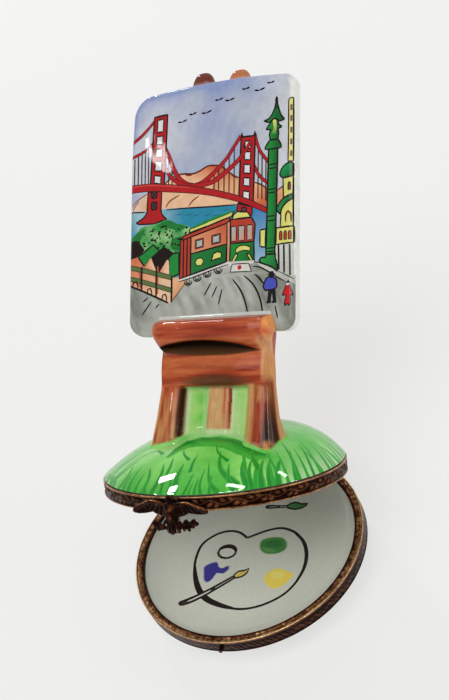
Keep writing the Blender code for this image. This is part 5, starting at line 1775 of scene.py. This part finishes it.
def bird_solids():
    solids = [boss(), lozenge((0.35, 12.3), (0.5, 7.6), 2.1, 1.5, 0.1),
              lozenge((0.2, 11.6), (0.55, 13.3), 1.15, 1.2, 0.2),
              lozenge((0.5, 12.75), (1.7, 12.95), 0.75, 0.75, 0.25),
              lozenge((1.3, 13.0), (1.75, 12.35), 0.42, 0.5, 0.25)]
    for k in range(4):
        for side in (-1.0, 1.0):
            up = 11.3 - 0.75 * k
            solids.append(lozenge((0.4 + side * 0.1, up + 0.4), (0.4 + side * (0.75 - 0.06 * k), up - 0.5),
                                  0.7, 0.5, 0.62))
    for k, (across, up) in enumerate(((-0.75, 6.1), (-0.3, 5.6), (0.15, 5.3), (0.7, 5.35), (1.2, 5.6))):
        solids.append(lozenge((0.4 + 0.1 * (k - 2), 8.9), (across, up), 0.62, 0.7, 0.1 * (k % 2)))
    solids += [lozenge((0.0, 8.9), (-1.5, 7.3), 0.75, 0.8, 0.1),
               lozenge((0.8, 8.9), (1.8, 7.4), 0.8, 0.8, 0.1)]
    for low, high in (((-0.6, 6.7), (-3.9, 7.75)), ((-0.6, 6.9), (-3.5, 8.05)), ((-0.8, 6.5), (-3.6, 7.1)),
                      ((-0.8, 6.6), (-2.7, 6.35))):
        solids.append(lozenge(low, high, 0.42, 0.5, 0.05))
    for across, up in ((-3.75, 7.6), (-3.35, 7.95), (-3.4, 7.1), (-2.6, 6.4)):
        solids.append(lozenge((across + 0.4, up - 0.1), (across - 0.25, up + 0.1), 0.62, 0.6, 0.1))
    for across in (-1.9, -1.4, 1.5, 1.95):
        solids.append(lozenge((across, 7.7), (across + 0.1, 6.6), 0.4, 0.6, 0.3))
    solids.append(lozenge((1.2, 6.9), (6.2, 7.95), 0.45, 0.5))
    solids.append(lozenge((1.6, 7.0), (5.9, 7.75), 1.25, 0.45, -0.05))
    for stem, leaf, wide in (((2.2, 7.2), (2.6, 8.3), 0.8), ((3.0, 7.3), (4.1, 8.65), 0.95),
                             ((4.2, 7.5), (4.5, 8.3), 0.8),
                             ((4.6, 7.6), (5.9, 8.75), 1.0), ((5.3, 7.7), (6.55, 8.05), 0.95),
                             ((4.8, 7.5), (5.6, 7.2), 0.9),
                             ((4.0, 7.2), (4.5, 6.35), 0.9), ((3.1, 7.1), (3.3, 6.3), 0.85),
                             ((2.2, 6.9), (2.3, 6.5), 0.7)):
        solids.append(lozenge(stem, leaf, wide, 0.6, 0.15))
    for across, up in ((2.9, 7.5), (3.8, 7.7), (4.9, 8.0), (4.6, 7.1), (3.5, 6.9)):
        solids.append(lozenge((across - 0.25, up), (across + 0.25, up + 0.05), 0.5, 0.5, 0.4))
    return solids + wing_solids(-1.0, (-8.15, 9.8),
                                (-4.1, 12.05)) + wing_solids(1.0, (8.75, 10.25), (4.6, 11.9))


def near_line(points, line, width):
    """1 on a line in (across, up), falling away within the width."""
    nearest = np.full(len(points), 99.0)
    for first, second in zip(line[:-1], line[1:]):
        first, second = np.array(first), np.array(second)
        run = second - first
        share = unit(((points - first) @ run) / (run @ run))[:, None]
        nearest = np.minimum(nearest, np.linalg.norm(points - first - share * run, axis=1))
    return unit(1.0 - nearest / width)


def build_bird():
    mesh = fused("clasp_bird_casting", bird_solids(), 0.1, 2)
    points, normals = mesh_arrays(mesh)
    flat = np.stack([points[:, 0] - CLASP_X, points[:, 2]], 1)
    high = unit((-26.75 - points[:, 1]) / 0.6)
    rubbed = np.array([noise.noise(Vector(p) * 0.9) for p in points])
    tone = 0.02 + 0.5 * high * unit(0.2 + 1.8 * rubbed)
    for side in (((-8.0, 10.0), (-5.2, 11.85), (-3.6, 12.2), (-1.0, 12.0)),
                 ((8.5, 10.5), (6.05, 11.4), (4.6, 12.0), (2.9, 12.2))):
        tone += 0.8 * near_line(flat, side, 0.42) * unit(normals[:, 2] + 0.2)
    metal = brass("bird_metal", 0.24, 3000.0)
    bird = place_mesh("clasp_bird_casting", mesh, "POINT", tarnish(0.85 * tone), LID, "clasp", metal)
    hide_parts("clasp_bird", "clasp_wing_left", "clasp_wing_right", "clasp_branch", "clasp_arrows")
    return bird


def plain_brass(name, low, high, roughness):
    """Turned brass without a painted tone: dark in some places and rubbed in others."""
    material = brass(name, roughness)
    tree = material.node_tree
    ramp = tree.nodes.new("ShaderNodeValToRGB")
    ramp.color_ramp.elements[0].position, ramp.color_ramp.elements[1].position = 0.35, 0.68
    ramp.color_ramp.elements[0].color = (*low, 1.0)
    ramp.color_ramp.elements[1].color = (*high, 1.0)
    tree.links.new(noise_of(tree, 420.0, 5.0), ramp.inputs["Fac"])
    tree.links.new(ramp.outputs["Color"], tree.nodes["Principled BSDF"].inputs["Base Color"])
    return material


def finish_brass_nodes():
    """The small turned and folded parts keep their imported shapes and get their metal."""
    dark = plain_brass("clasp_metal", BRASS_DARK, BRASS_WARM, 0.32)
    hinge = plain_brass("hinge_metal", BRASS_BROWN, BRASS_BRIGHT, 0.3)
    pin = plain_brass("pin_metal", BRASS_WARM, BRASS_BRIGHT, 0.25)
    for material, names in ((dark, ("base_catch", "clasp_anchor", "clasp_tongue")),
                            (hinge, ("hinge_base_leaf", "hinge_lid_leaf")), (pin, ("hinge_pin",))):
        for name in names:
            part = frame["nodes"][name]
            part.data.materials.clear()
            part.data.materials.append(material)


# ---------------------------------------------------------------------------------------------
# The room

# The floor's half-width is in metres. It glows a little, as paper lit from all round does.
FLOOR_REACH = 30.0
FLOOR_COLOUR = (0.35, 0.352, 0.348, 1.0)
FLOOR_GLOW = 0.54
ROOM_COLOUR = (1.0, 0.985, 0.945, 1.0)
SKY_STRENGTH = 0.42
HORIZON_STRENGTH = 0.86


def build_room():
    """A pale floor, and a studio whose walls are brightest low down."""
    mesh = bpy.data.meshes.new("floor")
    corners = [(x * FLOOR_REACH, y * FLOOR_REACH, 0.0) for x, y in ((-1, -1), (1, -1), (1, 1), (-1, 1))]
    mesh.from_pydata(corners, [], [(0, 1, 2, 3)])
    floor = bpy.data.objects.new("floor", mesh)
    bpy.context.scene.collection.objects.link(floor)
    material, _, _ = new_material(
        "pale_floor", Base_Color=FLOOR_COLOUR, Roughness=0.9, Specular_IOR_Level=0.1,
        Emission_Color=(1.0, 1.0, 0.99, 1.0), Emission_Strength=FLOOR_GLOW)
    mesh.materials.append(material)
    world = bpy.data.worlds.new("studio")
    world.use_nodes = True
    tree = world.node_tree
    background = tree.nodes["Background"]
    background.inputs["Color"].default_value = ROOM_COLOUR
    place = tree.nodes.new("ShaderNodeTexCoord")
    split = tree.nodes.new("ShaderNodeSeparateXYZ")
    fade = add_node(tree, "ShaderNodeMapRange", From_Min=0.02, From_Max=0.3,
                    To_Min=HORIZON_STRENGTH, To_Max=SKY_STRENGTH)
    tree.links.new(place.outputs["Generated"], split.inputs["Vector"])
    tree.links.new(split.outputs["Z"], fade.inputs["Value"])
    tree.links.new(fade.outputs["Result"], background.inputs["Strength"])
    bpy.context.scene.world = world


def add_softbox(name, position, target, width, height, power):
    """A rectangle of light facing its target, its width level with the ground."""
    lamp = bpy.data.lights.new(name, "AREA")
    lamp.shape = "RECTANGLE"
    lamp.size = width
    lamp.size_y = height
    lamp.energy = power
    obj = bpy.data.objects.new(name, lamp)
    bpy.context.scene.collection.objects.link(obj)
    away = (position - target).normalized()
    across = Vector((1.0, 0.0, 0.0))
    across = (across - across.dot(away) * away).normalized()
    turn = Matrix((across, away.cross(across), away)).transposed().to_4x4()
    obj.matrix_world = Matrix.Translation(position) @ turn
    return obj


def build_lights():
    """A small window behind on the left, a broad light overhead, and glints on the canvas."""
    mound = Vector((-0.001, -0.009, 0.041))
    canvas = Vector((-0.015, 0.057, 0.078))
    edge = Vector((0.0195, 0.05, 0.072))
    middle = Vector((0.0, 0.015, 0.035))
    ledge = Vector((-0.001, 0.0215, 0.0535))
    for name, lit, towards, distance, width, height, power in (
        ("window_light", mound, (-0.565, 0.69, 0.44), 1.0, 0.09, 0.06, 0.9),
        ("second_window", mound, (-0.1, 0.74, 0.66), 1.0, 0.14, 0.03, 0.38),
        ("third_window", mound, (0.13, 0.88, 0.45), 1.0, 0.09, 0.03, 0.2),
        ("overhead_light", middle, (0.05, -0.36, 0.93), 4.0, 3.4, 2.6, 72.0),
        ("strip_light", ledge, (-0.515, 0.63, 0.58), 1.0, 0.05, 0.05, 0.5),
        ("left_light", canvas, (-0.535, -0.325, 0.78), 1.0, 0.014, 0.026, 0.022),
        ("side_light", edge, (0.96, 0.12, 0.24), 1.0, 0.06, 0.4, 1.1),
    ):
        add_softbox(name, lit + distance * Vector(towards).normalized(), lit, width, height, power)


# The camera: its place in metres, its azimuth, elevation and roll in degrees, and its focal length in mm.
CAMERA_PLACE = (0.11495, -0.118082, 0.182134)
CAMERA_TURN = (38.806, 37.266, -28.297)
CAMERA_LENS = 56.098


def build_camera():
    """Looks down on the open box from its front right, rolled to the side."""
    azimuth, elevation, roll = (math.radians(angle) for angle in CAMERA_TURN)
    back = Vector((math.sin(azimuth) * math.cos(elevation), -math.cos(azimuth) * math.cos(elevation),
                   math.sin(elevation)))
    level_right = Vector((math.cos(azimuth), math.sin(azimuth), 0.0))
    level_up = back.cross(level_right)
    right = level_right * math.cos(roll) + level_up * math.sin(roll)
    up = level_up * math.cos(roll) - level_right * math.sin(roll)
    lens = bpy.data.cameras.new("camera")
    lens.sensor_width = 36.0
    lens.lens = CAMERA_LENS
    lens.clip_start = 0.01
    camera = bpy.data.objects.new("camera", lens)
    bpy.context.scene.collection.objects.link(camera)
    turn = Matrix((right, up, back)).transposed().to_4x4()
    camera.matrix_world = Matrix.Translation(CAMERA_PLACE) @ turn
    bpy.context.scene.camera = camera
    bpy.context.scene.view_settings.view_transform = "Standard"


def main():
    build_room()
    build_lights()
    build_camera()
    for piece in (build_dish(), build_base_rim(), build_lid_rim(), build_mound(), build_easel(),
                  build_canvas(), build_bird()):
        settle(piece)
    finish_brass_nodes()


main()
